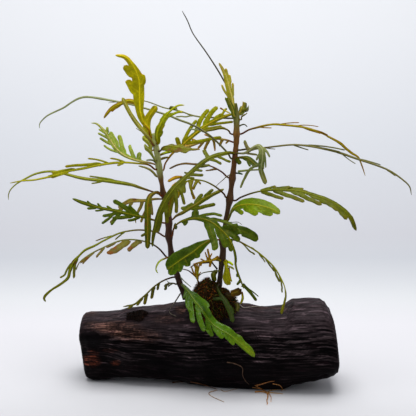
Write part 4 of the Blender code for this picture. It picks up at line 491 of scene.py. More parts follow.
         (23, 114, -15), (29, 113.9, -19), (35, 112.6, -22), (40, 110.9, -25), (44.5, 108.3, -27)),
         ((0.15, 0.9), (0.25, 2, 1.5), (0.38, 3.6, 2.4), (0.52, 4.9, 2.8), (0.7, 5, 2.8), (0.82, 4.2, 2.6),
         (0.92, 2.8, 1.9)), ((18, 112.6, 21.8, 108.5, 2.8), (24, 113.6, 30.9, 107.9, 3.6),
         (31, 113.3, 40, 107.5, 3.8)), facing=(0, -0.8, 0.6), stalk=0.26, tip=0.12, droop=8,
         tint=(0.69, 0.52, 0.06)),
    Leaf("leaf_right_20", "olive", ((9, 90.6, -1), (14, 92.2, -3), (18.5, 91.5, -5), (24, 88.7, -8),
         (30, 85.2, -11), (36, 80.3, -14), (41.2, 75, -16), (44.9, 68.9, -18), (47.5, 62.8, -20),
         (47.8, 57, -21), (46.2, 51.5, -22), (44.3, 46.8, -22)), ((0.1, 0.4), (0.3, 0.65), (0.6, 0.7),
         (0.75, 0.8), (0.85, 1.3), (0.95, 1)), ((21, 90, 29, 82.8, 1.2), (32.5, 83.2, 35.3, 78, 1.1),
         (37, 79.5, 40.6, 72.3, 1.1), (41.2, 75, 44, 65.8, 1.4), (44.9, 68.9, 45.4, 59.4, 1.3)),
         facing=(0.5, 0, 1), stalk=0.28, tip=0.12, droop=55, tint=(0.58, 0.63, 0.11)),
    Leaf("leaf_right_21", "olive", ((9, 79.5, -2), (11.2, 78, -5), (11.2, 73, -8), (11.8, 68, -10),
         (13.8, 64.5, -11)), ((0.1, 0.8), (0.3, 1.2, 0.9), (0.5, 1, 1.2), (0.7, 1, 2.4), (0.88, 1.2, 2.5),
         (0.96, 1, 1.8)), ((10.6, 78.6, 16.3, 76.2, 1.6), (11.2, 74, 14.8, 66.2, 1.4),
         (11.2, 76, 16.3, 73.8, 0.8)), facing=(0, -1, 0), stalk=0.15, tip=0.12, droop=5,
         tint=(0.86, 0.89, 0.06)),
    # The small leaf at the foot, which lies over the moss
    Leaf("leaf_right_22", "green", ((6.9, 65, -4), (5.6, 63, -11), (7.4, 59, -17), (11, 53.5, -22),
         (13.8, 47, -26), (15.4, 41, -29)), ((0.2, 0.5), (0.45, 1.2), (0.6, 1.9, 1.6), (0.8, 1.7, 1.5),
         (0.93, 1.4, 1.3)), ((8.8, 57, 2.8, 55.6, 2), (12.4, 50.4, 15.8, 46.4, 1.6)), facing=(0.2, -1, 0.4),
         droop=8, tint=(0.1, 0.1, 0.06)),
)

# Two small brown sprigs: one grows on the right stem, one out of the moss
SPRIGS = (
    Leaf("sprig_upper", "brown", ((8.8, 80.8, -2), (4, 80, -6), (-1, 79, -8), (-5, 78.3, -9),
         (-9.5, 77, -10)), ((0.1, 0.6), (0.4, 0.9, 0.7), (0.9, 0.4)), ((1, 79.6, -0.2, 86.8, 1.2),
         (0.6, 80.5, 2.5, 84, 0.8), (0.2, 81, -1.6, 82.2, 0.8), (-0.4, 80, -1.8, 84.8, 0.8),
         (1.5, 79.8, 1, 75.2, 1.5), (-4, 78.4, -4.6, 75.8, 1), (-3, 78.6, -4.8, 80.4, 0.9),
         (5, 80.2, 6.6, 82, 1)), facing=(0, -1, 0), stalk=0.2, tip=0.1, droop=0, tint=(1.1, 1.11, 0.12)),
    Leaf("sprig_lower", "brown", ((-6, 66, -8), (-6.8, 69, -11), (-7.2, 72, -13), (-6.8, 75, -15),
         (-6.2, 78, -16)), ((0.1, 0.5), (0.5, 0.6), (0.9, 0.4)), ((-6.3, 70.5, -10.2, 75.9, 0.8),
         (-6.4, 72, -7.2, 78.2, 0.9), (-6.4, 73, -4.6, 78.4, 0.9), (-6.2, 69.6, -4.4, 72.6, 0.7),
         (-6.3, 74.6, -8.8, 77.4, 0.8), (-6.3, 68.6, -8.2, 71, 0.7)), facing=(0, -1, 0), stalk=0.15,
         tip=0.1, droop=0, tint=(0.8, 0.94, 0.22)),
)


def strap(number, kind, half, tint, *path):
    """A thin strap of leaf, too small for a solid of its own, with its half width in mm."""
    widths = ((0.15, 0.8 * half), (0.5, half), (0.9, 0.8 * half))
    return Leaf(f"strap_{number:02d}", kind, path, widths, facing=FACE_ON, tint=tint)


STRAPS = (
    strap(1, "olive", 1, (0.66, 0.89, 0.06), (-30.5, 144.2, -1), (-26, 146, 3), (-20, 147.6, 5),
          (-16.8, 149.3, 6)),
    strap(2, "dark", 0.8, (1.32, 0.54, 0.06), (-30.5, 141.3, -1), (-27.5, 142.6, 3), (-24.5, 143.2, 5)),
    strap(3, "grey", 0.6, (1, 1, 1), (-31, 140, -2), (-35, 141.5, -5), (-38.2, 141.3, -8)),
    strap(4, "brown", 1.1, (1.12, 1.08, 0.06), (-15.2, 130.9, -16), (-20, 130.6, -19), (-24.9, 128.1, -20)),
    strap(5, "brown", 0.8, (2.6, 2.6, 2.6), (-16.8, 128.7, -17), (-20, 126.8, -18), (-22.5, 124.8, -19)),
    strap(6, "brown", 2.6, (0.29, 0.29, 0.06), (20.5, 61.4, -20), (18, 59.8, -19), (14, 58.8, -18)),
    strap(7, "olive", 0.8, (0.67, 0.64, 0.06), (21, 60, -20), (21.4, 56, -20.5), (20.2, 52.6, -20)),
    strap(8, "olive", 1.8, (0.36, 0.4, 0.06), (5.5, 73.4, -2), (3.4, 70.6, -5), (4.2, 66.4, -6)),
    strap(9, "dark", 0.6, (0.12, 0.35, 0.06), (17.2, 133.4, 2), (19.4, 133.2, 0), (21.5, 132.6, -1)),
    strap(10, "olive", 0.45, (1.15, 1.06, 0.06), (7.5, 173.6, 6), (10, 172.2, 6), (13.6, 170.4, 5)),
    strap(11, "brown", 0.55, (0.1, 0.1, 0.06), (5.7, 74.1, -2), (3.6, 76.6, -3), (1.8, 79.4, -4),
          (0.6, 83, -4)),
    strap(12, "brown", 0.45, (0.1, 0.1, 0.06), (0.8, 78.2, -5), (-3.6, 77.8, -6), (-6.8, 77.5, -7),
          (-11.2, 75, -8)),
    strap(13, "olive", 1.1, (0.39, 0.32, 0.06), (2.6, 79.6, -4), (5, 80.2, -5), (8.3, 79, -5)),
    strap(14, "brown", 0.4, (1, 1, 1), (-6.1, 68.3, -6), (-8.6, 71.6, -7), (-10, 75.2, -8)),
    strap(15, "brown", 0.4, (0.1, 0.1, 0.06), (-6.8, 68.8, -6), (-9.5, 71.1, -7), (-12.3, 73.2, -7),
          (-16, 74.1, -6)),
    strap(16, "brown", 0.5, (1, 1.82, 0.06), (-6.3, 67.9, -6), (-6.1, 72.5, -6), (-4.9, 78.5, -6)),
    strap(17, "brown", 1.9, (0.1, 0.1, 0.06), (10, 58.8, -16), (13, 57.6, -17), (16, 57.8, -17)),
    strap(18, "brown", 0.6, (1.04, 0.77, 0.06), (12.9, 75, 1), (13.4, 71, 1), (14.3, 66.5, 1)),
    strap(19, "olive", 0.9, (1.59, 2.14, 0.06), (9.8, 78.6, 2), (13, 78.3, 2), (15.6, 76.4, 2)),
    strap(20, "dark", 0.5, (1, 1, 1), (13.2, 75.6, 2), (14.6, 75.2, 2), (16, 74.2, 2)),
    strap(21, "olive", 0.45, (0.95, 1.29, 0.24), (-24.5, 81.5, -14), (-27, 80.4, -14), (-29.5, 79.1, -14),
          (-31.2, 76.8, -14), (-32.2, 73.8, -14), (-31, 71.5, -14)),
    strap(22, "brown", 1.1, (1, 1, 1), (12, 89, 2), (13.6, 87.2, 1), (14.2, 85.2, 0)),
    strap(23, "green", 1.4, (0.27, 0.16, 0.17), (17, 53.4, -17), (18.4, 51.5, -19), (18, 48, -21)),
)

# The colours of each class of leaf: from stalk to tip, veins, rim, lobe ends, underside and stalk
CLASS_TONES = {
    "green": ("5f8a1c 6c9a20 78a024", "a8bc58", "8aa820", "7aa020", "7f9660", "6a5a2a"),
    "dark": ("2c4a14 355a18 2f5216", "5f7a3c", "3f6a1c", "3a6018", "4f6a48", "4a2a18"),
    "olive": ("7a7c18 86861a 8f8a1c", "b0aa48", "9a9018", "96801c", "8a8a58", "6a3a20"),
    "brown": ("7a5a1c 8f6a1c 9a6c18", "b09048", "9a5a18", "9a5214", "8a7a50", "5a2818"),
    # Grey leaves: leaf green with a painted sheen, the reflection of the pale sky, mixed into their colours
    "grey": ("6f8060 7a8a6a 7f8f6c", "a0a888", "8a9060", "7f8a50", "9aa08c", "5f5a3a"),
}
# The colours of the stems by height in mm
STEM_TINTS = {
    "stem_left": ((60, "34211a"), (118, "4a2e1e"), (130, "6a4a24"), (136, "93985a"), (152, "a4a868")),
    "stem_right": ((50, "30241a"), (110, "422c1a"), (147, "6a4420"), (158, "7a5422"), (166, "74743a"),
                   (176, "5a5c20")),
}


@dataclass
class Tones:
    """The colours of one leaf, those in spread from stalk to tip."""
    spread: list
    vein: Vector
    rim: Vector
    ends: Vector
    under: Vector
    stalk: Vector
    spots: Vector


def leaf_tones(leaf):
    """The colours of a leaf: those of its class or its own, each times its tint, and its spots."""
    def own(text):
        return Vector(a * b for a, b in zip(colour(text), leaf.tint))

    spread, *others = CLASS_TONES[leaf.colour]
    return Tones([own(text) for text in (leaf.spread or spread).split()], *[own(text) for text in others],
                 Vector(colour(leaf.spots)) if leaf.spots else None)


def stem_tint(name, up):
    """A stem's colour at this height, in mm."""
    table = STEM_TINTS[name]
    tints = [colour(text) for _, text in table]
    return Vector(float(np.interp(up, [row[0] for row in table], [tint[axis] for tint in tints]))
                  for axis in range(3))


# Leaves: the thickness of the blade, the distance of the midrib's points and how far the midrib carries its
# upper side through a turn
SHEET_THICKNESS, RIB_STEP, CARRY_LENGTH = 0.24 * MM, 0.5 * MM, 3.5 * MM
# Steps that flatten() takes, and the shares of the error that each one takes away, along and off the blade
FLATTEN_STEPS, FLATTEN_ALONG, FLATTEN_OFF = 12, 0.8, 0.5
# Half widths of stalks in mm, and the longest share of the midrib over which a traced tip rounds off
TRACED_STALK, PLAIN_STALK, LEAST_HALF_WIDTH, ROUND_TIP = 0.35, 0.4, 0.12, 0.12
# A traced lobe lies in the blade's plane unless the camera sees that plane at a flatter slant than this
LEAST_SLANT = 0.35
# Lobes of a leaf without widths: turned towards the tip in degrees, the play in their length and turn, and
# their width as a share of their distance
PLAIN_SWEEP, LENGTH_PLAY, TURN_PLAY, LOBE_SPACING = 65, 0.12, 6, 0.72
# Lobes widen by this share at the foot and bulge by this share in the middle
FOOT_FLARE, LOBE_BULGE = 0.45, 0.10
# Distances in mm: of the points of a lobe's middle line and of the blade's rim, of the lattice inside it and
# its rows, and the least distance of two points
LOBE_STEP, BLADE_STEP, LATTICE, LATTICE_ROW, CLEARANCE = 0.6, 0.8, 0.95, 0.95 * 0.87, 0.42
# How strongly and how closely, per mm, the rim of the blade is wavy
RIM_WAVE, RIM_WAVE_SCALE = 0.10, 0.22
# Clouds, mottle and spots in a leaf's colour: how close they are, per metre, and how strong
CLOUD_SCALE, CLOUD_STRENGTH, MOTTLE_SCALE, MOTTLE_STRENGTH, SPOT_SCALE = 130, 0.42, 520, 0.22, 260
RIM_TONE, END_TONE, VEIN_TONE, SPOT_TONE = 0.55, 0.75, 0.65, 0.85
# Widths of side veins, midrib and rolled rim in mm, and the depth of veins and rim in mm
SIDE_VEIN, MID_VEIN, RIM_ROLL, TROUGH = 0.28, 0.42, 0.7, 0.10
# Side veins fade by this share towards the tips of their lobes. A lobe counts as such from this share of the
# blade's half width, and its lift grows with this power
VEIN_FADE, LOBES_FROM, LIFT_POWER = 0.7, 0.6, 1.6
# The ripple of the blade, as a share of the distance from the midrib, up to this distance in mm
RIPPLE, RIPPLE_REACH = 0.16, 4
# The round rib under the blade: sides, radii at stalk and tip, how far along it goes, and in mm how far it
# sinks below the blade and the distance of its rings
RIB_SIDES, RIB_RADIUS, RIB_TIP_RADIUS, RIB_END, RIB_SINK, RIB_RING_STEP = 8, 0.45, 0.14, 0.97, 0.06, 1.2


class Rib:
    """A leaf's midrib: a smooth line that carries the leaf's direction and upper side."""

    def __init__(self, leaf, route):
        self.leaf = leaf
        self.points, self.length = evenly_spaced(curve_through(route), RIB_STEP)
        self.count = len(self.points) - 1
        last = self.count
        self.aheads = [(self.points[min(i + 1, last)] - self.points[max(i - 1, 0)]).normalized()
                       for i in range(last + 1)]
        facing = Vector(leaf.facing).normalized()
        flat = [facing - ahead * facing.dot(ahead) for ahead in self.aheads]
        best = max(range(len(flat)), key=lambda index: flat[index].length)
        normals = {best: flat[best].normalized()}
        weight = self.length / self.count / CARRY_LENGTH
        for order in (range(best + 1, len(flat)), range(best - 1, -1, -1)):
            carried = normals[best]
            for index in order:
                ahead = self.aheads[index]
                carried = carried - ahead * carried.dot(ahead)
                carried = (flat[index] * weight + carried).normalized()
                normals[index] = carried
        self.normals = [normals[index] for index in range(len(flat))]

    def frame(self, along):
        """Point, direction and upper side at this length, in metres, from the stem."""
        share = along / self.length * self.count
        index = min(max(int(share), 0), self.count - 1)
        t = share - index
        point = self.points[index].lerp(self.points[index + 1], t)
        t = min(max(t, 0), 1)
        ahead = self.aheads[index].lerp(self.aheads[index + 1], t).normalized()
        normal = self.normals[index].lerp(self.normals[index + 1], t).normalized()
        return point, ahead, normal

    def out(self, along, side):
        """From the midrib out over the left (side 1) or the right (side -1) half of the blade."""
        _, ahead, normal = self.frame(along)
        share = along / self.length
        leaf = self.leaf
        blade = smooth_step(0, leaf.stalk, share) * (1 - smooth_step(1 - leaf.tip, 1, share))
        fall = math.radians(leaf.droop * blade)
        out = normal.cross(ahead) * side
        return out * math.cos(fall) - normal * math.sin(fall)

    def place(self, along, aside, lift=0.0):
        """The place of a point of the flat leaf: along and aside the midrib, and off the blade."""
        point, _, normal = self.frame(along)
        side = 1 if aside >= 0 else -1
        return point + self.out(along, side) * abs(aside) + normal * lift

    def flatten(self, target, along, side):
        """Along, aside and lift of a place, found step by step from a start on the midrib."""
        aside, lift = 0.0, 0.0
        for _ in range(FLATTEN_STEPS):
            _, ahead, _ = self.frame(along)
            out = self.out(along, side)
            error = target - self.place(along, aside * side, lift)
            normal = out.cross(ahead) if side < 0 else ahead.cross(out)
            along += FLATTEN_ALONG * error.dot(ahead)
            aside = max(aside + FLATTEN_ALONG * error.dot(out), 0.0)
            lift += FLATTEN_OFF * error.dot(normal)
        return along, aside, lift


def half_width(leaf, share, side):
    """Half width of the blade between its lobes on this side, or of the stalk, in mm."""
    rows = leaf.widths
    if rows:
        own = [row[1 if side > 0 else -1] for row in rows]
        width = float(np.interp(share, [row[0] for row in rows], own))
        if share < rows[0][0]:
            width = TRACED_STALK + (width - TRACED_STALK) * smooth_step(0, rows[0][0], share)
        tip = min(ROUND_TIP, 1 - rows[-1][0] + 0.02)
    else:
        place = min(max((share - leaf.stalk) / (1 - leaf.stalk - leaf.tip), 0), 1)
        blade = leaf.waist[0] + (leaf.waist[1] - leaf.waist[0]) * place
        width = PLAIN_STALK + (blade - PLAIN_STALK) * smooth_step(0.5 * leaf.stalk, leaf.stalk, share)
        tip = leaf.tip
    if share > 1 - tip:
        width *= math.sqrt(max(1 - ((share - 1 + tip) / tip) ** 2.2, 0))
    return max(width, LEAST_HALF_WIDTH)


@dataclass
class Lobe:
    """One lobe in the flat leaf, in mm: the line along its middle, its width, the lift of its tip.

    edge is the share of the line at which it comes out of the blade between the lobes.
    """
    line: list
    width: float
    lift: float
    edge: float


def lobe_outline(lobe):
    """The lobe's rim: as wide as its sinus allows at the foot, a strap, then a rounded end."""
    left, right = [], []
    count = len(lobe.line) - 1
    for index, point in enumerate(lobe.line):
        t = index / count
        ahead = (lobe.line[min(index + 1, count)] - lobe.line[max(index - 1, 0)]).normalized()
        out = Vector((-ahead.y, ahead.x))
        half = 0.5 * lobe.width * (1 + FOOT_FLARE * (1 - smooth_step(lobe.edge * 0.6, lobe.edge + 0.22, t)))
        half *= 1 + LOBE_BULGE * math.sin(math.pi * min(t * 1.15, 1))
        start = 1 - min(0.42, 0.55 * lobe.width / max((lobe.line[-1] - lobe.line[0]).length, 0.1))
        if t > start:
            half *= math.sqrt(max(1 - ((t - start) / (1 - start)) ** 2.3, 0.0))
        if index < count:
            left.append(point + out * half)
            right.append(point - out * half)
    return left + [lobe.line[-1]] + right[::-1]


def traced_lobes(leaf, rib):
    """Where each traced lobe starts, its side, and where its tip is in the flat leaf."""
    spots = [shown(point) for point in rib.points]
    for from_across, from_up, across, up, width in leaf.lobes:
        index = min(range(len(spots)),
                    key=lambda i: (spots[i][0] - from_across) ** 2 + (spots[i][1] - from_up) ** 2)
        base = rib.length * index / rib.count
        point, ahead, _ = rib.frame(base)
        leftward = shown(point + rib.out(base, 1) * MM)
        x, y = spots[index]
        side = 1 if (leftward[0] - x) * (across - x) + (leftward[1] - y) * (up - y) > 0 else -1
        plane = rib.out(base, side).cross(ahead).normalized()
        if abs(plane.dot((point - EYE).normalized())) > LEAST_SLANT:
            target = on_sight_line(across, up, point, plane)
        else:
            target = seen(across, up, point.y / MM)
        along, aside, lift = rib.flatten(target, base, side)
        yield base, side, along / MM, aside / MM, lift / MM, width


def plain_lobes(leaf, rib):
    """The same for a plain leaf, whose lobes are given by their lengths."""
    count = len(leaf.left)
    step = (1 - leaf.stalk - leaf.tip) / max(count, 1)
    for number in range(count):
        share = leaf.stalk + step * (number + 0.5)
        for side, size in ((1, leaf.left[number]), (-1, leaf.right[number])):
            chance = noise.noise(Vector((share * 9, side, len(leaf.name) + leaf.path[0][1])))
            size *= 1 + LENGTH_PLAY * chance
            chance = noise.noise(Vector((share * 7, side * 3, leaf.path[0][0])))
            turn = math.radians(PLAIN_SWEEP + TURN_PLAY * chance)
            along = share * rib.length / MM + size * math.sin(turn)
            aside = half_width(leaf, share, side) + size * math.cos(turn)
            yield share * rib.length, side, along, aside, 0.0, LOBE_SPACING * step * rib.length / MM


def flat_lobes(leaf, rib):
    """All lobes of a leaf in its flat form."""
    lobes = []
    find_lobes = traced_lobes if leaf.widths else plain_lobes
    for base, side, along, aside, lift, width in find_lobes(leaf, rib):
        edge = half_width(leaf, base / rib.length, side)
        foot = base / MM
        reach = along - foot
        a = Vector((foot - 0.35 * min(abs(reach), 4.0) * (1 if reach > 0 else -1), 0.0))
        b = Vector((foot + 0.18 * reach, edge + 0.45 * max(aside - edge, 0)))
        c = Vector((along, aside))
        line = []
        samples = max(8, round((c - a).length / LOBE_STEP))
        for index in range(samples + 1):
            t = index / samples
            spot = a * (1 - t) ** 2 + b * 2 * t * (1 - t) + c * t ** 2
            line.append(Vector((spot.x, spot.y * side)))
        inside = [index for index, spot in enumerate(line) if abs(spot.y) < edge]
        start = max(inside) / samples if inside else 0.0
        lobes.append(Lobe(line, width, lift, min(start, 0.7)))
    return lobes


def flat_sheet(leaf, rib, lobes):
    """The flat leaf cut into small triangles: its points in mm and its faces."""
    length = rib.length / MM
    steps = max(16, round(length / BLADE_STEP))
    coords, rims, upper, lower = [], [], [], []
    for step in range(steps + 1):
        share = step / steps
        wave = 1 + RIM_WAVE * noise.noise(Vector((share * length * RIM_WAVE_SCALE, leaf.path[0][1], 0.5)))
        upper.append(Vector((share * length, half_width(leaf, share, 1) * wave)))
        lower.append(Vector((share * length, -half_width(leaf, share, -1) * wave)))
    for outline in [lower + upper[::-1]] + [lobe_outline(lobe)[::-1] for lobe in lobes]:
        start = len(coords)
        coords.extend(outline)
        rims.append(list(range(start, len(coords))))
    taken = {}

    def cell(spot):
        return math.floor(spot.x / CLEARANCE), math.floor(spot.y / CLEARANCE)

    def free(spot):
        column, row = cell(spot)
        near = [taken.get((column + i, row + j), ()) for i in (-1, 0, 1) for j in (-1, 0, 1)]
        return all((other - spot).length >= CLEARANCE for others in near for other in others)

    def take(spot):
        taken.setdefault(cell(spot), []).append(spot)

    for spot in coords:
        take(spot)
    inner = [Vector((length * step / steps, 0.0)) for step in range(1, steps)]
    for lobe in lobes:
        inner.extend(lobe.line[1:-1])
    low = Vector((min(c.x for c in coords), min(c.y for c in coords)))
    high = Vector((max(c.x for c in coords), max(c.y for c in coords)))
    for row in range(math.ceil((high.y - low.y) / LATTICE_ROW) + 1):
        for column in range(math.ceil((high.x - low.x) / LATTICE) + 1):
            shift = 0.5 * LATTICE if row % 2 else 0.0
            inner.append(Vector((low.x + column * LATTICE + shift, low.y + row * LATTICE_ROW)))
    for spot in inner:
        if free(spot):
            take(spot)
            coords.append(spot)
    points, _, faces, _, _, was_face = delaunay_2d_cdt(coords, [], rims, 1, 1e-4, True)
    kept = [tuple(face) for face, origin in zip(faces, was_face) if origin]
    used = sorted({index for face in kept for index in face})
    order = {index: place for place, index in enumerate(used)}
    faces = [tuple(order[index] for index in face) for face in kept]
    return [points[index] for index in used], faces


def rim_edges(faces):
    """The edges that only one face has, each in that face's direction."""
    runs = {}
    for face in faces:
        for a, b in zip(face, face[1:] + face[:1]):
            runs.setdefault((min(a, b), max(a, b)), []).append((a, b))
    return [run[0] for run in runs.values() if len(run) == 1]


def tree_from(points):
    """A tree that finds the nearest of these points of the flat leaf."""
    tree = kdtree.KDTree(len(points))
    for index, point in enumerate(points):
        tree.insert((point.x, point.y, 0), index)
    tree.balance()
    return tree


def leaf_tint(tones, share, vein, rim, place, lobe_share):
    """The colour of a leaf at one point: its share of the midrib, on a vein or not, and mm from the rim."""
    spread = tones.spread
    position = min(max(share, 0), 0.9999) * (len(spread) - 1)
    index = int(position)
    tint = mix(spread[index], spread[index + 1], position - index)
    cloud = noise.noise(place * CLOUD_SCALE)
    fine = noise.noise(place * MOTTLE_SCALE)
    tint = tint * (1 + CLOUD_STRENGTH * cloud + MOTTLE_STRENGTH * fine)
    near_rim = (1 - smooth_step(0.0, 1.1, rim)) * smooth_step(-0.35, 0.5, cloud + 0.2)
    tint = mix(tint, tones.rim, RIM_TONE * near_rim)
    tint = mix(tint, tones.ends, END_TONE * smooth_step(0.55, 1.0, lobe_share + 0.35 * fine))
    tint = mix(tint, tones.vein, VEIN_TONE * vein)
    if tones.spots is not None:
        blotch = noise.noise(place * SPOT_SCALE + Vector((7, 3, 1)))
        tint = mix(tint, tones.spots, SPOT_TONE * smooth_step(0.22, 0.42, blotch + 0.1 * fine))
    return tint


def sheet_points(leaf, rib, lobes, spots, rims, tones):
    """The place, the tint and the vein at each point of the flat leaf, once it is bent along its midrib."""
    length = rib.length / MM
    axes_of = [(lobe, index / (len(lobe.line) - 1)) for lobe in lobes for index in range(len(lobe.line))]
    axes = tree_from([point for lobe in lobes for point in lobe.line]) if lobes else None
    for spot in spots:
        share = spot.x / length
        edge = half_width(leaf, min(max(share, 0), 1), 1 if spot.y >= 0 else -1)
        lift, vein, lobe_share = 0.0, 0.0, 0.0
        if axes:
            _, index, distance = axes.find((spot.x, spot.y, 0))
            lobe, t = axes_of[index]
            if abs(spot.y) > LOBES_FROM * edge:
                lobe_share = max(0.0, (t - lobe.edge) / (1 - lobe.edge))
            lift = lobe.lift * lobe_share ** LIFT_POWER
            vein = math.exp(-(distance / SIDE_VEIN) ** 2) * (1 - VEIN_FADE * t)
        vein = max(vein, math.exp(-(spot.y / MID_VEIN) ** 2))
        rim_distance = rims.find((spot.x, spot.y, 0))[2]
        wave = noise.noise(Vector((spot.x * 0.30, spot.y * 0.25, leaf.path[0][1])))
        ripple = wave * min(abs(spot.y), RIPPLE_REACH) * RIPPLE
        trough = TROUGH * math.exp(-(rim_distance / RIM_ROLL) ** 2) - TROUGH * vein
        place = rib.place(spot.x * MM, spot.y * MM, (lift + ripple + trough) * MM)
        yield place, leaf_tint(tones, share, vein * 0.8, rim_distance, place, lobe_share), vein


def thicken(surface, sheet, faces, edges, under):
    """An upper and a lower skin for the sheet, half in the tint of the underside, and a rim round them."""
    normals = [Vector((0, 0, 0)) for _ in sheet]
    for a, b, c in faces:
        normal = (sheet[b][0] - sheet[a][0]).cross(sheet[c][0] - sheet[a][0])
        for index in (a, b, c):
            normals[index] += normal
    tops, bottoms = [], []
    for (place, tint, vein), normal in zip(sheet, normals):
        off = normal.normalized() * (0.5 * SHEET_THICKNESS)
        tops.append(surface.add(place + off, tint, vein))
        bottoms.append(surface.add(place - off, mix(tint, under, 0.5), vein))
    for face in faces:
        surface.faces.append(tuple(tops[index] for index in face))
        surface.faces.append(tuple(bottoms[index] for index in reversed(face)))
    for a, b in edges:
        surface.faces.append((tops[b], tops[a], bottoms[a], bottoms[b]))


def add_rib(surface, leaf, rib, tones):
    """The round stalk of a leaf, which goes on as the rib under its blade."""
    places, radii = [], []
    steps = max(12, round(rib.length / MM / RIB_RING_STEP))
    for step in range(steps + 1):
        share = step / steps * RIB_END
        point, _, normal = rib.frame(share * rib.length)
        places.append(point - normal * RIB_SINK * MM)
        radii.append((RIB_RADIUS * (1 - share) ** 0.6 + RIB_TIP_RADIUS) * MM)

    def rib_tint(share):
        return mix(tones.stalk, tones.vein, smooth_step(0.3 * leaf.stalk, 1.3 * leaf.stalk + 0.05, share))

    surface.tube(places, radii, rib_tint, RIB_SIDES)


def build_leaf(leaf, start, skins):
    """One leaf as a thin sheet cut to its lobes, bent along its midrib, with a round stalk and rib."""
    tones = leaf_tones(leaf)
    rib = Rib(leaf, start + [seen(*point) for point in leaf.path[1:]])
    lobes = flat_lobes(leaf, rib)
    spots, faces = flat_sheet(leaf, rib, lobes)
    edges = rim_edges(faces)
    rims = tree_from([spots[index] for index in sorted({index for edge in edges for index in edge})])
    surface = Surface()
    thicken(surface, list(sheet_points(leaf, rib, lobes, spots, rims, tones)), faces, edges, tones.under)
    add_rib(surface, leaf, rib, tones)
    nodes = [leaf.name] if leaf.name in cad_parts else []
    surface.build("plant_" + leaf.name, leaf.colour, skins[leaf.skin or leaf.colour], *nodes)


def new_material(name, roughness, specular):
    """A material with its node tree and its shader."""
    material = bpy.data.materials.new(name)
    material.use_nodes = True
    tree = material.node_tree
    shader = tree.nodes["Principled BSDF"]
    shader.inputs["Roughness"].default_value = roughness
    shader.inputs["Specular IOR Level"].default_value = specular
    return material, tree, shader


def add_node(tree, kind, **settings):
    """A node whose inputs, or else properties, have these settings."""
    node = tree.nodes.new(kind)
    for key, value in settings.items():
        if key in node.inputs:
            node.inputs[key].default_value = value
        else:
            setattr(node, key, value)
    return node


def noise_at(tree, scale, detail, stretch=None):
    """Noise in the piece's own coordinates, drawn out where stretch has less than 1."""
    place = add_node(tree, "ShaderNodeTexCoord")
    texture = add_node(tree, "ShaderNodeTexNoise", Scale=scale, Detail=detail, Roughness=0.55)
    source = place.outputs["Object"]
    if stretch:
        mapping = add_node(tree, "ShaderNodeMapping", Scale=stretch)
        tree.links.new(source, mapping.inputs["Vector"])
        source = mapping.outputs["Vector"]
    tree.links.new(source, texture.inputs["Vector"])
    return texture


def ranged(tree, source, low, high, to_low, to_high):
    """A value from the first range brought into the second one."""
    node = add_node(tree, "ShaderNodeMapRange")
    for key, value in (("From Min", low), ("From Max", high), ("To Min", to_low), ("To Max", to_high)):
        node.inputs[key].default_value = value
    tree.links.new(source, node.inputs["Value"])
    return node.outputs["Result"]


def multiplied(tree, first, second):
    """A colour times another colour or a value."""
    node = add_node(tree, "ShaderNodeMix", data_type="RGBA", blend_type="MULTIPLY")
    node.inputs[0].default_value = 1.0
    tree.links.new(first, node.inputs[6])
    tree.links.new(second, node.inputs[7])
    return node.outputs[2]


def bump(tree, shader, sources):
    """Relief from several height sources, each with its distance in mm and its strength."""
    last = None
    for source, distance, strength in sources:
        node = add_node(tree, "ShaderNodeBump", Strength=strength, Distance=distance * MM)
        tree.links.new(source, node.inputs["Height"])
        if last:
            tree.links.new(last, node.inputs["Normal"])
        last = node.outputs["Normal"]
    tree.links.new(last, shader.inputs["Normal"])


def tinted(tree):
    """The colour painted on the mesh."""
    return add_node(tree, "ShaderNodeVertexColor", layer_name="tint").outputs["Color"]


def leaf_looks(name, roughness, specular, veins):
    """A leaf's skin: painted tint, a fine mottle, a net of small veins and a soft gloss."""
    material, tree, shader = new_material(name, roughness, specular)
    mottle = noise_at(tree, 900, 4)
    shade = ranged(tree, mottle.outputs["Fac"], 0.3, 0.7, 0.82, 1.18)
    place = add_node(tree, "ShaderNodeTexCoord")
    net = add_node(tree, "ShaderNodeTexVoronoi", feature="DISTANCE_TO_EDGE", Scale=950)
    tree.links.new(place.outputs["Object"], net.inputs["Vector"])
    lines = ranged(tree, net.outputs["Distance"], 0.0, 0.12, 1.0 + veins, 1.0)
    tint = multiplied(tree, tinted(tree), shade)
    tint = multiplied(tree, tint, lines)
    tree.links.new(tint, shader.inputs["Base Color"])
    gloss = noise_at(tree, 350, 2)
    tree.links.new(ranged(tree, gloss.outputs["Fac"], 0.3, 0.7, roughness - 0.08, roughness + 0.12),
                   shader.inputs["Roughness"])
    relief = add_node(tree, "ShaderNodeAttribute", attribute_name="relief")
    bump(tree, shader, ((net.outputs["Distance"], 0.10, 0.35), (mottle.outputs["Fac"], 0.08, 0.4),
                        (relief.outputs["Fac"], 0.25, 0.6)))
    shader.inputs["Subsurface Weight"].default_value = 0.12
    shader.inputs["Subsurface Radius"].default_value = (0.6, 1.0, 0.2)
    shader.inputs["Subsurface Scale"].default_value = 0.6 * MM
    return material


def stem_looks():
    """The skin of stems: painted tint, fine streaks along the stem and a soft gloss."""
    material, tree, shader = new_material("stem_skin", 0.5, 0.15)
    streak = noise_at(tree, 900, 3, (1, 1, 0.15))
    tint = multiplied(tree, tinted(tree), ranged(tree, streak.outputs["Fac"], 0.3, 0.7, 0.7, 1.3))
    tree.links.new(tint, shader.inputs["Base Color"])
    bump(tree, shader, ((streak.outputs["Fac"], 0.12, 0.6),))
    return material


def plain_looks(name, roughness, scale, strength):
    """Painted tint with a grainy surface, for moss and roots."""
    material, tree, shader = new_material(name, roughness, 0.1)
    grain = noise_at(tree, scale, 4)
    tint = multiplied(tree, tinted(tree), ranged(tree, grain.outputs["Fac"], 0.3, 0.7, 0.7, 1.3))
    tree.links.new(tint, shader.inputs["Base Color"])
    bump(tree, shader, ((grain.outputs["Fac"], 0.15, strength),))
    return material


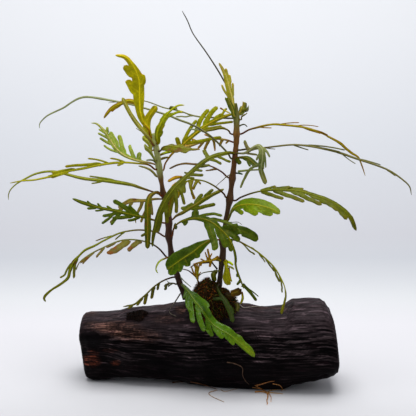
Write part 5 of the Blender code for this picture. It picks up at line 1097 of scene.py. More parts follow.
# The log by sections: along X, underside, top, height of its fullest line, middle and half depth
LOG_SECTIONS = (
    (-80.0, 1.0, 38.6, 31.0, 8.4, 18.6), (-78.4, 0.0, 40.1, 32.0, 8.3, 19.6),
    (-75.0, -0.6, 40.7, 32.5, 8.0, 20.4), (-66.0, -0.2, 40.9, 32.5, 7.5, 21.2),
    (-58.0, 1.6, 42.0, 32.0, 6.8, 21.6), (-50.0, 2.4, 44.2, 31.0, 6.2, 22.0),
    (-40.0, 2.4, 45.3, 31.0, 5.4, 22.5), (-30.0, 2.0, 46.7, 30.5, 4.5, 23.0),
    (-20.0, 1.2, 48.8, 30.0, 3.6, 23.5), (-10.0, -0.6, 50.4, 30.0, 2.4, 24.0),
    (0.0, -1.8, 50.8, 30.5, 1.0, 24.3), (12.0, -2.2, 50.8, 31.5, -0.8, 24.6),
    (24.0, -2.2, 49.4, 32.5, -2.4, 24.8), (35.0, -2.0, 47.6, 33.0, -3.8, 25.0),
    (46.0, -1.2, 49.0, 33.5, -5.0, 25.2), (54.0, 2.4, 53.8, 34.0, -6.0, 25.2),
    (64.0, 4.8, 54.8, 34.5, -7.0, 25.0), (71.0, 7.0, 54.6, 35.0, -7.8, 24.6),
    (74.5, 8.6, 52.8, 34.5, -8.2, 24.2), (77.6, 10.8, 48.7, 33.5, -8.5, 23.4),
    (78.4, 13.0, 45.7, 32.0, -8.7, 22.0),
)
UPPER_FULLNESS, LOWER_FULLNESS = 2.25, 3.0
LEDGE_START, LEDGE_FULL, LEDGE_DEPTH = -46.0, -66.0, 4.0
LEFT_CUT_START, LEFT_CUT_LEAN = -62.0, 0.10
RIGHT_CUT_START, RIGHT_CUT_LEAN = 60.0, 0.12
# Steps of section_curve() round the log in one degree, points of the skin along and round it, rings of a cut
DEGREE_STEPS, LOG_ALONG, LOG_AROUND, LOG_CUT_RINGS = 4, 228, 360, 12
# Noise on the wood: its length along the log and its width round it in mm, and its own layer of noise
LONG_WAVE, BEND, BROWN_WAVE = (26, 10, 1), (22, 12, 4), (17, 8, 9)
FURROW, FIBRE, PIT, GRAIN = (21, 0.8, 2), (10, 0.6, 3), (6, 0.8, 6), (1.1, 0.5, 5)
# The colours of the wood: unlit and lit, painted shade and light by facing; pale grey, partly weathered wood
# and partly a painted sheen of the top light; ridges; worn to brown with its specks above and below this
# height in mm; painted shade in hollows, underneath and in cracks; and the cut ends with their rings
WOOD_DARK, WOOD_LIT = colour("060203"), colour("281d20")
WOOD_PALE, WOOD_RIDGE = colour("463c40"), colour("5c4d50")
WORN_DARK, WORN_UPPER, WORN_LOWER = colour("1c0b09"), colour("5e4238"), colour("64301f")
WORN_HEIGHT = 28
WOOD_PAINTED_SHADE, WOOD_CRACK_SHADE = colour("060305"), colour("020102")
CUT_DARK, CUT_PALE = colour("0f0a0b"), colour("2c221f")

# Relief on the log's front that the camera shows: its line, half width in mm and height in mm
WOOD_LINES = (
    (((-37, 30.5), (-30, 30.0), (-22, 29.0), (-15, 27.5), (-9, 27.2), (-3, 28.2), (4, 28.5)), 0.9, 0.9),
    (((-40, 27.8), (-30, 27.2), (-20, 26.0), (-12, 25.2), (-4, 25.8), (3, 26.3)), 0.7, -0.9),
    (((-33, 22.6), (-29, 21.4), (-25, 20.4)), 0.6, 0.6),
    (((-15, 20.6), (-11, 19.4), (-8, 18.6)), 0.6, 0.6),
    (((46, 28.6), (52, 28.8), (58, 29.2), (64, 30.4), (72, 31.6), (79, 32.4)), 0.8, 0.8),
    (((48, 27.0), (58, 27.4), (66, 28.8), (79, 30.6)), 0.6, -0.7),
    (((28, 20.4), (36, 19.6), (44, 20.0), (52, 20.8), (60, 20.6), (66, 20.0)), 0.6, 0.6),
    (((58, 17.6), (66, 18.0), (73, 19.0)), 0.5, 0.5),
    (((44, 12.8), (56, 13.2), (70, 15.0), (78, 17.0)), 0.5, 0.4),
    (((40, 49.4), (50, 50.4), (58, 51.6), (66, 53.6), (71, 54.4)), 0.5, -0.8),
    (((18, 36.5), (28, 36.0), (38, 35.0), (47, 34.6)), 0.8, 0.5),
    (((30, 30.5), (38, 29.6), (44, 28.8)), 0.7, 0.6),
    (((52, 40.2), (62, 40.8), (74, 41.8)), 0.5, -0.5),
    (((50, 36.8), (60, 37.4), (76, 39.0)), 0.5, -0.6),
    (((54, 33.4), (64, 34.6), (77, 36.2)), 0.5, -0.5),
    (((-62, 30.8), (-54, 31.2), (-46, 30.0), (-38, 29.4)), 0.7, 0.6),
    (((-60, 28.9), (-52, 29.4), (-44, 28.4)), 0.6, -0.7),
    (((-76, 43.2), (-66, 43.0), (-56, 43.6), (-50, 42.4)), 0.6, -0.5),
    (((-79, 37.4), (-74, 37.2), (-70, 36.4), (-66, 33.2), (-64.5, 30.4)), 0.7, 0.8),
    (((50, 4.8), (58, 5.6), (66, 6.6), (76, 9.4)), 0.6, -0.6),
    (((-68, 9.6), (-58, 10.4), (-50, 11.2), (-42, 10.2), (-30, 9.2)), 0.6, -0.5),
    (((24, 46.4), (34, 45.8), (44, 46.4), (56, 47.6)), 0.6, -0.35),
)
# Pieces of the skin: across and up of its middle, its two half widths, and the strength of a look
WORN_BROWN = ((-58, 38, 17, 4.5, 1.0), (-48, 34, 13, 4.5, 1.0), (-70, 40, 7, 2.5, 0.7),
              (-36, 33, 8, 4, 0.6), (-25, 43, 9, 3, 0.45), (-17, 50, 3.5, 4, 1.2), (-72, 17.5, 6, 3.2, 1.2),
              (-57, 16, 3, 1.6, 0.9), (-71, 22, 4, 2, 0.6), (-60, 24, 5, 1.6, 0.5))
# Pale grey: partly weathered wood and partly a painted sheen where the top light catches the upper front
PALE_GREY = ((-64, 45.5, 15, 3.0, 0.9), (-30, 50, 12, 3.5, 1.0), (-21, 46.5, 4, 4, 0.5),
             (-20, 35, 16, 5, 0.45), (30, 46, 15, 6, 0.8), (24, 42, 8, 6, 0.45),
             (63, 46, 15, 6, 0.85), (62, 54, 12, 3, 1.0),
             (48, 41, 30, 8, 0.5), (64, 35, 16, 4, 0.4), (30, 52, 14, 2.6, 0.6))
# Painted shade: the hollow under the ledge at the left end, the lower front that faces down, and the wood
# under the plant
PAINTED_SHADE_PATCHES = ((-72, 31, 7, 6.5, 1.0), (-44, 22, 22, 5, 0.5), (-10, 13, 34, 7, 0.8), (-44, 46, 6, 4, 1.0),
             (8, 40, 12, 12, 0.8), (4, 24, 12, 5, 0.4))


def section_curve(x):
    """The log's outline at x in mm, at every quarter degree from its far side over its top."""
    for low, high in zip(LOG_SECTIONS, LOG_SECTIONS[1:]):
        if x <= high[0] or high is LOG_SECTIONS[-1]:
            t = smooth_step(low[0], high[0], x)
            under, top, fullest, middle, half = (a + (b - a) * t for a, b in zip(low[1:], high[1:]))
            break
    turn = np.linspace(0, 2 * math.pi, 360 * DEGREE_STEPS + 1)
    power = np.where(np.sin(turn) > 0, 2 / UPPER_FULLNESS, 2 / LOWER_FULLNESS)
    side = np.sign(np.cos(turn)) * np.abs(np.cos(turn)) ** power
    rise = np.sign(np.sin(turn)) * np.abs(np.sin(turn)) ** power

    def fade(start, end, values):
        t = np.clip((values - start) / (end - start), 0, 1)
        return t * t * (3 - 2 * t)

    under_ledge = fade(0.0, -0.25, rise) * fade(-1.0, -0.72, rise) * (side < 0)
    half = half - LEDGE_DEPTH * smooth_step(LEDGE_START, LEDGE_FULL, x) * under_ledge
    y = middle + half * side
    z = np.maximum(fullest + np.where(rise > 0, top - fullest, fullest - under) * rise, 0.0)
    lean = -LEFT_CUT_LEAN * np.minimum(z - fullest, 0) * smooth_step(LEFT_CUT_START, LOG_SECTIONS[0][0], x)
    lean = lean - RIGHT_CUT_LEAN * (z - fullest) * smooth_step(RIGHT_CUT_START, LOG_SECTIONS[-1][0], x)
    return x + lean, y, z, (middle, fullest)


def log_section(x, count):
    """The same outline as evenly spaced points, with their ways round the log from its near side, in mm."""
    *curve, centre = section_curve(x)
    ys, zs = curve[1:]
    passed = np.concatenate([[0], np.cumsum(np.hypot(np.diff(ys), np.diff(zs)))])
    wanted = np.linspace(0, passed[-1], count, endpoint=False)
    points = [np.interp(wanted, passed, values) for values in curve]
    return points, centre, wanted - passed[len(passed) // 2]


def line_relief(across, up):
    """How far the traced ridges and cracks lift or lower the skin here, in mm."""
    total = 0.0
    for points, width, height in WOOD_LINES:
        if not points[0][0] - 2 < across < points[-1][0] + 2:
            continue
        for (a, b), (c, d) in zip(points, points[1:]):
            if a <= across <= c:
                line = b + (d - b) * (across - a) / (c - a)
                ends = smooth_step(0, 4, across - points[0][0]) * smooth_step(0, 4, points[-1][0] - across)
                wander = 0.5 * noise.noise(Vector((across * 0.4, b, height)))
                total += height * ends * math.exp(-((up - line - wander) / width) ** 2)
                break
    return total


def patch(patches, across, up):
    """The strength of a look here, from its soft round pieces."""
    total = 0.0
    for a, u, wide, high, strength in patches:
        distance = math.hypot((across - a) / wide, (up - u) / high)
        total = max(total, strength * (1 - smooth_step(0.55, 1.25, distance)))
    return total


def wood_noise(x, round_log, grain):
    """Noise drawn out as this grain says, at x and at this way round the log, both in mm."""
    length, width, layer = grain
    return noise.noise(Vector((x / length, round_log / width, layer)))


def wood_skin(place, normal, round_log):
    """Relief in mm and colour of the log's skin at a place, whose way round the log is in mm."""
    x, _, z = place / MM
    across, up = shown(place)
    front = smooth_step(-0.15, 0.25, -normal.y)
    long_wave = wood_noise(x, round_log, LONG_WAVE)
    bent = round_log + 0.9 * wood_noise(x, round_log, BEND)
    furrow, fibre, pit, grain = [wood_noise(x, bent, kind) for kind in (FURROW, FIBRE, PIT, GRAIN)]
    top = smooth_step(0.35, 0.9, normal.z)
    smooth = max(top * 0.75, front * 0.8 * smooth_step(20, 13, up),
                 0.9 * front * patch(PAINTED_SHADE_PATCHES[:1], across, up))
    rough = 1 - smooth
    relief = 0.45 * long_wave + rough * (0.26 * furrow + 0.16 * fibre)
    relief += smooth * (0.10 * furrow + 0.08 * fibre)
    crack = smooth_step(0.12, 0.42, -furrow) * rough
    pitted = smooth_step(0.2, 0.5, -pit)
    relief -= 0.26 * crack + 0.2 * rough * pitted
    lines = front * line_relief(across, up)
    relief += lines
    # Painted light and shade: the skin is painted lighter where it faces up to the top light, darker where
    # it faces away
    lit = smooth_step(0.1, 0.75, normal.z + 0.2 * long_wave)
    tint = mix(WOOD_DARK, WOOD_LIT, 0.85 * lit)
    # Pale grey: partly weathered wood, partly a painted sheen of the top light on the upper front, and paler
    # towards the top
    pale = patch(PALE_GREY, across, up) * front + (1 - front) * 0.45 * smooth_step(28, 46, z)
    tint = mix(tint, WOOD_PALE, pale * (0.55 + 0.9 * fibre + 0.4 * furrow))
    ridge = smooth_step(0.05, 0.5, furrow + 0.5 * fibre + 0.9 * max(lines, 0))
    tint = mix(tint, WOOD_RIDGE, 0.42 * ridge * rough)
    worn = patch(WORN_BROWN, across, up + 1.5 * long_wave) * front
    worn = max(worn, (1 - front) * 0.8 * smooth_step(0.05, 0.4, wood_noise(x, round_log, BROWN_WAVE)))
    speck = smooth_step(-0.25, 0.35, fibre + 0.7 * grain)
    brown = mix(WORN_DARK, WORN_UPPER if up > WORN_HEIGHT else WORN_LOWER, speck)
    tint = mix(tint, brown, min(worn, 1) * 0.7)
    # Painted shade in the hollow under the left ledge, on the lower front and under the plant
    tint = mix(tint, WOOD_PAINTED_SHADE, 0.85 * front * patch(PAINTED_SHADE_PATCHES, across, up))
    # Painted shade in the cracks, pits and grooves
    tint = mix(tint, WOOD_CRACK_SHADE, min(1, 0.9 * crack + 0.5 * max(-lines, 0) + 0.5 * pitted))
    return relief, tint * (1 + 0.35 * grain)


def build_cut(surface, ring, way):
    """A worn cut end over this ring of points, domed and rough: the left one (way -1) or the right one."""
    rim = [surface.places[index] for index in ring]
    heart = sum(rim, Vector((0, 0, 0))) / len(rim)
    previous = ring
    for step in range(1, LOG_CUT_RINGS + 1):
        share = step / LOG_CUT_RINGS
        inner = []
        for place in rim:
            spot = place.lerp(heart, share * 0.98)
            years = noise.noise(Vector((spot.y * 60, spot.z * 60, 1)))
            wave = math.sin(share * 46 + 5 * years)
            saw = noise.noise(Vector((spot.y * 500, spot.z * 1900, 2)))
            push = 0.8 * smooth_step(0, 0.12, share) + 0.10 * wave + 0.16 * saw
            tint = mix(CUT_DARK, CUT_PALE, 0.45 + 0.3 * wave + 0.5 * saw)
            inner.append(surface.add(spot + Vector((way * push * MM, 0, 0)), tint, push))
        for index in range(LOG_AROUND):
            after = (index + 1) % LOG_AROUND
            face = (previous[index], previous[after], inner[after], inner[index])
            surface.faces.append(face if way > 0 else face[::-1])
        previous = inner
    surface.faces.append(tuple(previous) if way > 0 else tuple(reversed(previous)))


def build_log(looks):
    """The log, a fine skin over its sections with furrows, fibres, cracks and two rough cut ends."""
    surface = Surface()
    first, last = LOG_SECTIONS[0][0], LOG_SECTIONS[-1][0]
    rings = []
    for step in range(LOG_ALONG):
        x = first + (last - first) * step / (LOG_ALONG - 1)
        (xs, ys, zs), centre, way = log_section(x, LOG_AROUND)
        ring = []
        for index in range(LOG_AROUND):
            before, after = index - 1, (index + 1) % LOG_AROUND
            normal = Vector((0, zs[before] - zs[after], ys[after] - ys[before])).normalized()
            place = Vector((xs[index], ys[index], zs[index])) * MM
            if normal.dot(place - Vector((place.x, *centre)) * MM) < 0:
                normal = -normal
            relief, tint = wood_skin(place, normal, way[index])
            outward = Vector((0, ys[index] - centre[0], zs[index] - centre[1])).normalized()
            place += outward * (relief * smooth_step(0.0, 1.5, zs[index]) * MM)
            place.z = max(place.z, 0.0)
            ring.append(surface.add(place, tint, relief))
        rings.append(ring)
    for low, high in zip(rings, rings[1:]):
        for index in range(LOG_AROUND):
            after = (index + 1) % LOG_AROUND
            surface.faces.append((low[index], low[after], high[after], high[index]))
    build_cut(surface, rings[0], -1)
    build_cut(surface, rings[-1], 1)
    surface.build("driftwood_bark", "driftwood", looks, "driftwood")


def wood_looks():
    """Waterlogged wood: painted tint, fine fibres drawn out along the log, short painted highlights on its
    ridges and a patchy damp gloss.
    """
    material, tree, shader = new_material("wet_wood", 0.7, 0.04)
    fibres = noise_at(tree, 760, 5, (0.11, 1, 1))
    grain = noise_at(tree, 1500, 3, (0.3, 1, 1))
    tint = multiplied(tree, tinted(tree), ranged(tree, fibres.outputs["Fac"], 0.3, 0.7, 0.35, 1.7))
    tint = multiplied(tree, tint, ranged(tree, grain.outputs["Fac"], 0.3, 0.7, 0.8, 1.2))
    # Painted highlights: short pale streaks along the ridges, up to nearly three times as light, darker
    # between them
    ridge_highlights = noise_at(tree, 420, 4, (0.12, 1, 1))
    tint = multiplied(tree, tint, ranged(tree, ridge_highlights.outputs["Fac"], 0.55, 0.68, 0.75, 2.8))
    tree.links.new(tint, shader.inputs["Base Color"])
    damp = noise_at(tree, 120, 3, (0.4, 1, 1))
    tree.links.new(ranged(tree, damp.outputs["Fac"], 0.35, 0.65, 0.45, 0.8), shader.inputs["Roughness"])
    bump(tree, shader, ((fibres.outputs["Fac"], 0.35, 0.8), (grain.outputs["Fac"], 0.15, 0.5)))
    return material


# Moss on the log: along X with its share of the thickness, round the log in degrees from its far side
# over its top, its thickness in mm, and how many tufts it has
MAT_ALONG = ((-12, 0.15), (-9, 0.5), (-6, 0.9), (-2, 1.02), (3, 1.0), (7, 0.72), (12, 0.6), (15, 0.42),
             (18, 0.12))
MAT_AROUND, MAT_THICKNESS, MAT_TUFTS = (62, 139), 15.5, 6500
PATCH_ALONG = ((-51, 0.3), (-48.5, 0.8), (-45, 1.0), (-41.5, 0.8), (-38, 0.3))
PATCH_AROUND, PATCH_THICKNESS, PATCH_TUFTS = (96, 132), 1.6, 1100
MAT_TONES = [colour(text) for text in ("1d1208", "301e0b", "2d320c", "58300e", "505415", "8c4a12")]
PATCH_TONES = [colour(text) for text in ("100805", "1c0d09", "1a160e", "2c170c")]
MOSS_ROWS, MOSS_COLUMNS = 54, 46
# Tufts stand where the moss is at least this whole, and are this much shorter on thin moss
TUFTS_FROM, THIN_MOSS, THIN_TUFTS = 0.35, 3, 0.6


def log_skin(x, angle):
    """A point of the log's smooth form, and its outward direction."""
    xs, ys, zs, centre = section_curve(x)
    index = round(angle * DEGREE_STEPS)
    place = Vector((xs[index], ys[index], zs[index])) * MM
    before, after = index - 2 * DEGREE_STEPS, index + 2 * DEGREE_STEPS
    normal = Vector((0, zs[before] - zs[after], ys[after] - ys[before])).normalized()
    outward = Vector((0, ys[index] - centre[0], zs[index] - centre[1]))
    return place, normal if normal.dot(outward) > 0 else -normal


def moss_body(surface, along, around, thickness, tones):
    """A lumpy body with an uneven edge. The result says for each point how whole the moss is there."""
    xs, shares = zip(*along)
    grid, whole = {}, {}
    for i in range(MOSS_ROWS + 1):
        u = i / MOSS_ROWS
        x = xs[0] + (xs[-1] - xs[0]) * i / MOSS_ROWS
        share = float(np.interp(x, xs, shares))
        for j in range(MOSS_COLUMNS + 1):
            v = j / MOSS_COLUMNS
            skin, out = log_skin(x, around[0] + (around[1] - around[0]) * v)
            edge = 1 - math.hypot(2 * u - 1, 2 * v - 1) * (1.0 + 0.7 * noise.noise(skin * 230))
            ragged = smooth_step(0.0, 0.2, min(edge, 8 * u, 8 - 8 * u, 8 * v, 8 - 8 * v))
            lump = noise.noise(skin * 130) + 0.7 * noise.noise(skin * 330)
            height = thickness * share * math.sin(math.pi * min(max(v, 0.02), 0.98)) * (1 + 0.22 * lump)
            height = (height + 0.7 * lump + 0.5) * ragged - 0.6 * (1 - ragged)
            tone = mix(tones[0], tones[1], smooth_step(-0.2, 0.5, lump))
            grid[i, j] = surface.add(skin + out * (height * MM), tone)
            whole[grid[i, j]] = ragged
    for i in range(MOSS_ROWS):
        for j in range(MOSS_COLUMNS):
            surface.faces.append((grid[i, j], grid[i, j + 1], grid[i + 1, j + 1], grid[i + 1, j]))
    return whole


def add_tuft(surface, rng, corners, tones, size):
    """A small leafy blade that stands on the moss between these three corners and bends down."""
    a, b, c = corners
    normal = (b - a).cross(c - a).normalized()
    if normal.z < -0.2 and normal.y > 0:
        normal = -normal
    root = a.lerp(b, rng.random()).lerp(c, rng.random() * 0.5) - normal * 0.3 * MM
    lean = Vector((rng.uniform(-1, 1), rng.uniform(-1, 1), rng.uniform(-0.9, 0.5)))
    ahead = (normal + 0.9 * lean).normalized()
    length = rng.uniform(1.0, 3.2) * MM * size
    wide = rng.uniform(0.16, 0.34) * MM
    side = ahead.cross(Vector((rng.uniform(-1, 1), rng.uniform(-1, 1), 0.3))).normalized()
    tone = tones[min(int(rng.random() ** 1.6 * len(tones)), len(tones) - 1)] * rng.uniform(0.7, 1.3)
    previous = None
    for step in range(4):
        t = step / 3
        spot = root + ahead * (length * t) + Vector((0, 0, -0.35 * length * t * t))
        half = wide * (1 - 0.85 * t)
        pair = (surface.add(spot - side * half, tone), surface.add(spot + side * half, tone))
        if previous:
            surface.faces.append((previous[0], previous[1], pair[1], pair[0]))
        previous = pair


def build_moss(name, along, around, thickness, tufts, tones, looks, node):
    """A cushion of moss: its body, set with small tufts."""
    surface = Surface()
    whole = moss_body(surface, along, around, thickness, tones)
    rng = random.Random(len(name) * 7)
    spots = [[surface.places[index] for index in face[:3]] for face in surface.faces
             if whole[face[0]] > TUFTS_FROM]
    for _ in range(tufts):
        add_tuft(surface, rng, rng.choice(spots), tones, THIN_TUFTS if thickness < THIN_MOSS else 1.0)
    surface.build(name, "moss", looks, node)


# Roots: a point with a depth hangs free, one without lies on the wood or the ground; radius in mm, colour
ROOTS = {
    "root_prop": (((-17, 59, -2), (-19.6, 55, -5), (-22.2, 51, -9), (-23.8, 47.6), (-22.4, 45.8),
                   (-19.6, 44.6)), 0.45, "5a5248"),
    "root_pale": (((19.5, 51.5), (22, 49.8), (26, 50.2), (30, 50.6), (34, 50.8)), 0.40, "8a8078"),
    "root_front": (((11.7, 16.6), (15.6, 16), (19.4, 14.6), (21.4, 12.8), (21.5, 8.5), (23.2, 5.2),
                    (25.3, 3.2)), 0.32, "4c392c"),
    "root_on_ground": (((29, -1.8), (33, -1.6), (36.6, -2.8), (37, -5), (36.4, -7), (36.8, -9)), 0.45,
                       "a0703c"),
}
FINE_ROOTS = (
    (((5.6, -0.6), (0.6, -2.5), (3, -5), (9.9, -8)), 0.28, "a08468"),
    (((30, 2.5), (34, 3.5), (38, 4.6), (41, 5)), 0.35, "8a5a34"),
    (((37, -1.5), (38.9, -5), (38.9, -8)), 0.26, "b07a40"),
    (((36.5, -2), (34.5, -1), (29, 2.5)), 0.32, "a06a38"),
    (((37, -2), (42, -2.6), (46.3, -3)), 0.30, "b08850"),
    (((38, -1), (43, -0.2), (48, -0.6)), 0.28, "b08850"),
    (((37.5, -1.5), (36.8, -5), (36.5, -9.9)), 0.28, "b07a40"),
    (((35, -1.2), (33, -0.4), (31, 0.6), (27.5, 1.2)), 0.28, "a07040"),
    (((40, 3.4), (44, 2.4), (46, 0.4), (45.4, -1.4)), 0.26, "9a6a3c"),
    (((-22, 4), (-16, 4.3), (-10, 4.5), (-2, 2.6), (5, 0)), 0.34, "5a3a24"),
    (((8, -0.4), (10, -1.4), (14, -0.8), (18, 0.2)), 0.22, "a08468"),
)
# Bits too small for a solid of their own: threads, slivers, buds and bare twigs
SLIVERS = (
    (((-32, 149, -2), (-38, 156.5, 4), (-44.5, 161.2, 7)), 0.35, "7a7a2a"),
    (((-31, 138.5, -2), (-34, 141, -6), (-37, 141.3, -9)), 0.45, "6a6a2a"),
    (((-22.5, 81.5, 0), (-28.4, 80.2, -3), (-31, 78, -5), (-32.2, 74.8, -6), (-31, 71.7, -6)), 0.35,
     "6a5a28"),
    (((15.3, 133, 1), (12, 131.5, -4), (8.5, 128.5, -9), (5, 125.3, -13)), 0.35, "5a4a24"),
    (((11.3, 103, 1), (15, 103, 3), (18.5, 103, 5), (21, 101.5, 6)), 0.30, "7a8068"),
    (((17.7, 161, 3), (20, 162.8, 5), (22.5, 163.4, 7), (24.2, 162, 8)), 0.6, "4a4a20"),
    (((-7.5, 69, -8), (-9, 71, -9), (-13, 73.5, -9), (-17, 74, -9)), 0.30, "4a2c1c"),
    (((7.5, 73, -5), (2, 72.6, -8), (-3, 71.8, -9), (-5.5, 70, -9)), 0.5, "5a5a1c"),
    (((-17, 69, -1), (-14, 66, -3), (-10.5, 63, -6)), 0.40, "6a705a"),
)


# Threads: points that curve_through() puts in, their distance in mm, sides, and the scale of their wander
THREAD_STEPS, THREAD_SPACING, THREAD_SIDES, THREAD_WANDER = 10, 0.7, 7, 260


def lay(points, tree, lift):
    """Places for the points: hanging free, or on the skin that the camera sees there, or on the ground."""
    places = []
    for point in points:
        if len(point) == 3:
            places.append(seen(*point))
            continue
        towards = (seen(*point, 0) - EYE).normalized()
        hit, normal = tree.ray_cast(EYE, towards)[:2]
        ground = EYE + towards * (lift - EYE.z) / towards.z
        places.append(hit + normal * lift if hit and (hit - EYE).length < (ground - EYE).length else ground)
    return places


def thread(surface, places, radius, tone, wander):
    """A root or twig along the places: tapered, and crooked by this many mm between its ends."""
    fine = evenly_spaced(curve_through(places, THREAD_STEPS), THREAD_SPACING * MM)[0]
    spots, radii = [], []
    for index, place in enumerate(fine):
        share = index / (len(fine) - 1)
        sway = Vector([noise.noise(place * THREAD_WANDER + Vector((k * 9, 1, 2))) for k in range(3)])
        held = min(share, 1 - share, 0.25) * 4
        spot = place + sway * (wander * held * MM)
        spot.z = max(spot.z, radius * 0.6 * MM)
        spots.append(spot)
        radii.append(radius * MM * (1 - 0.55 * share) * (1 + 0.2 * noise.noise(place * 700)) + 0.03 * MM)
    surface.tube(spots, radii, lambda share: tone * (1 + 0.25 * math.sin(share * 40)), THREAD_SIDES)


def build_roots(tree, looks):
    """The roots on the wood and the ground, and the bits that have no solid."""
    for name, (points, radius, tone) in ROOTS.items():
        surface = Surface()
        thread(surface, lay(points, tree, radius * MM), radius, colour(tone), 0.15)
        surface.build("plant_" + name, "root", looks, name)
    surface = Surface()
    for points, radius, tone in FINE_ROOTS:
        thread(surface, lay(points, tree, 0.8 * radius * MM), radius, colour(tone), 0.25)
    surface.build("fine_roots", "root", looks)
    surface = Surface()
    for points, radius, tone in SLIVERS:
        thread(surface, [seen(*point) for point in points], radius, colour(tone), 0.1)
    surface.build("twigs_and_slivers", "root", looks)


# The stage: floor and backdrop in one sweep, soft lights and the camera

# How light the sweep is painted, by the height in mm at which the camera sees it: red, green and blue. This
# is
# painted shade: darkest where the floor bends up into the backdrop and lighter towards the top, as the top
# light falls off
SWEEP_SHADING = ((-30, 0.50, 0.50, 0.515), (-5, 0.585, 0.585, 0.605), (40, 0.62, 0.615, 0.64),
               (56, 0.59, 0.60, 0.615), (80, 0.47, 0.485, 0.515), (95, 0.48, 0.485, 0.515),
               (150, 0.555, 0.57, 0.60), (240, 0.715, 0.725, 0.745))
# The sweep in metres: half widths of the floor and the raised part, where the floor starts and bends up,
# and the radius of the bend
FLOOR_HALF, WALL_HALF, FLOOR_START, BEND_START, BEND_RADIUS = 3.0, 0.34, -2.0, 0.26, 0.35
# Lights: where each one stands and looks, in metres, its size and its power
LIGHTS = {"top": ((0.0, 0.0, 0.95), (0, 0, 0.05), 0.8, 11.0),
          "left": ((-0.9, -0.5, 0.6), (0, 0, 0.1), 0.5, 1.2),
          "right": ((0.9, -0.6, 0.7), (0, 0, 0.1), 0.5, 1.2)}
SKY, SKY_STRENGTH = (0.92, 0.94, 1.0, 1), 0.4


def build_stage():
    """A pale floor that rises into a backdrop behind the plant, with painted shade by height."""
    profile = [(FLOOR_START + 0.05 * step, 0.0) for step in range(37)]
    profile += [(-0.2 + 0.02 * step, 0.0) for step in range(1, 24)]
    for step in range(1, 13):
        turn = math.radians(90 * step / 12)
        profile.append((BEND_START + BEND_RADIUS * math.sin(turn), BEND_RADIUS * (1 - math.cos(turn))))
    profile += [(BEND_START + BEND_RADIUS, BEND_RADIUS + 0.05 * step) for step in range(1, 40)]
    places = [(side * (FLOOR_HALF if z == 0 else WALL_HALF), y, z - 0.02 * MM)
              for y, z in profile for side in (-1, 1)]
    faces = [(2 * i, 2 * i + 1, 2 * i + 3, 2 * i + 2) for i in range(len(profile) - 1)]
    mesh = bpy.data.meshes.new("sweep")
    mesh.from_pydata(places, [], faces)
    mesh.shade_smooth()
    tones = np.ones((len(places), 4), np.float32)
    # Painted shade: each point takes the sweep's painted lightness at the height where the camera sees it
    for index, place in enumerate(places):
        height = shown(Vector((0, place[1], place[2])))[1] if place[1] > -0.6 else -40
        for channel in range(3):
            tones[index, channel] = np.interp(height, [row[0] for row in SWEEP_SHADING],
                                              [row[channel + 1] for row in SWEEP_SHADING])
    layer = mesh.color_attributes.new("tint", "FLOAT_COLOR", "POINT")
    layer.data.foreach_set("color", tones.ravel())
    sweep = bpy.data.objects.new("sweep", mesh)
    bpy.context.scene.collection.objects.link(sweep)
    material, tree, shader = new_material("sweep", 0.8, 0.0)
    tree.links.new(tinted(tree), shader.inputs["Base Color"])
    mesh.materials.append(material)


def build_lights_and_camera():
    """Soft lights from above and both sides, a pale sky, and the camera that took the photo."""
    for name, (place, aim, size, power) in LIGHTS.items():
        data = bpy.data.lights.new(name, "AREA")
        data.size = size
        data.energy = power
        item = bpy.data.objects.new(name, data)
        item.location = place
        item.rotation_euler = (Vector(aim) - Vector(place)).to_track_quat("-Z", "Y").to_euler()
        bpy.context.scene.collection.objects.link(item)
    bpy.context.scene.view_settings.view_transform = "Standard"
    world = bpy.data.worlds.new("studio")
    world.use_nodes = True
    background = world.node_tree.nodes["Background"]
    background.inputs["Color"].default_value = SKY
    background.inputs["Strength"].default_value = SKY_STRENGTH
    bpy.context.scene.world = world
    data = bpy.data.cameras.new("camera")
    data.sensor_width = SENSOR
    data.lens = SENSOR * EYE_DISTANCE / VIEW_WIDTH
    data.clip_start = 0.01
    camera = bpy.data.objects.new("camera", data)
    camera.location = EYE
    camera.rotation_euler = (math.radians(90) - EYE_ELEVATION, 0, 0)
    bpy.context.scene.collection.objects.link(camera)
    bpy.context.scene.camera = camera


# The plant: the skins of leaves by class, each with its roughness, its gloss and how bright its veins are
LEAF_SKINS = {"green": (0.42, 0.09, 0.25), "dark": (0.42, 0.09, 0.3), "olive": (0.46, 0.08, 0.2),
              "brown": (0.52, 0.08, 0.2), "grey": (0.38, 0.18, 0.15), "wet": (0.2, 0.16, 0.25)}
# Stems: distance of their rings in mm and sides, then the swelling where a leaf starts, as a share of the
# radius and as its reach in mm
STEM_SPACING, STEM_SIDES, BETWEEN_JOINTS, AT_JOINTS, JOINT_REACH = 0.8, 16, 0.94, 0.2, 2.2
# How a leaf leaves its stem: from this share of the stem's radius, to so far off its skin and up it in mm
STALK_FROM, STALK_OFF, STALK_UP = 0.3, 1.6, 0.3


def leaf_start(leaf, places, radii):
    """Where a leaf leaves its stem: a place inside the stem and one just off its skin."""
    first, following = [seen(*point) for point in leaf.path[:2]]
    found = []
    for a, b, r, s in zip(places, places[1:], radii, radii[1:]):
        share = min(max((first - a).dot(b - a) / (b - a).length_squared, 0), 1)
        point = a.lerp(b, share)
        found.append(((first - point).length, point, r + (s - r) * share, (b - a).normalized()))
    _, point, radius, upward = min(found, key=lambda item: item[0])
    outward = following - point
    outward = (outward - upward * outward.dot(upward)).normalized()
    return [point + outward * STALK_FROM * radius,
            point + outward * (radius + STALK_OFF * MM) + upward * STALK_UP * MM]


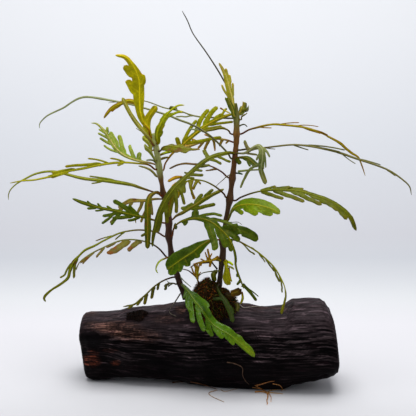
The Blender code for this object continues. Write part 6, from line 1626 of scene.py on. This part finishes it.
def build_stem(name, places, radii, leaves, looks):
    """A round stem, a little thicker where its leaves start."""
    fine = evenly_spaced(curve_through(places), STEM_SPACING * MM)[0]
    last = len(fine) - 1
    lengths = [0.0]
    for a, b in zip(places, places[1:]):
        lengths.append(lengths[-1] + (b - a).length)
    starts = [seen(*leaf.path[0]) for leaf in leaves]
    sizes = []
    for index, place in enumerate(fine):
        radius = float(np.interp(lengths[-1] * index / last, lengths, radii))
        joint = min((place - start).length for start in starts) / MM
        sizes.append(radius * (BETWEEN_JOINTS + AT_JOINTS * math.exp(-(joint / JOINT_REACH) ** 2)))
    surface = Surface()
    surface.tube(fine, sizes, lambda share: stem_tint(name, fine[round(share * last)].z / MM), STEM_SIDES)
    surface.build("plant_" + name, "stem", looks, name)


def tree_of(*names):
    """The skin of these pieces together, as roots are laid on it."""
    places, faces = [], []
    for name in names:
        mesh = bpy.data.objects[name].data
        start = len(places)
        places.extend(vertex.co.copy() for vertex in mesh.vertices)
        faces.extend([start + index for index in face.vertices] for face in mesh.polygons)
    return BVHTree.FromPolygons(places, faces)


build_stage()
build_lights_and_camera()
skins = {name: leaf_looks("leaf_" + name, *values) for name, values in LEAF_SKINS.items()}
stem_skin, moss_skin = stem_looks(), plain_looks("moss", 0.9, 1800, 0.8)
build_log(wood_looks())
build_moss("moss_clump", MAT_ALONG, MAT_AROUND, MAT_THICKNESS, MAT_TUFTS, MAT_TONES, moss_skin, "moss_mat")
build_moss("moss_cushion", PATCH_ALONG, PATCH_AROUND, PATCH_THICKNESS, PATCH_TUFTS, PATCH_TONES, moss_skin,
           "moss_patch")
build_roots(tree_of("driftwood_bark", "moss_clump"), plain_looks("root_skin", 0.6, 1200, 0.4))
for stem, table, leaves in (("stem_left", STEM_LEFT, LEAVES_ON_LEFT_STEM),
                            ("stem_right", STEM_RIGHT, LEAVES_ON_RIGHT_STEM + SPRIGS[:1])):
    places = [seen(*row[:3]) for row in table]
    radii = [row[3] * MM for row in table]
    build_stem(stem, places, radii, leaves, stem_skin)
    for leaf in leaves:
        build_leaf(leaf, leaf_start(leaf, places, radii), skins)
for leaf in STRAPS + SPRIGS[1:]:
    build_leaf(leaf, [seen(*leaf.path[0])], skins)
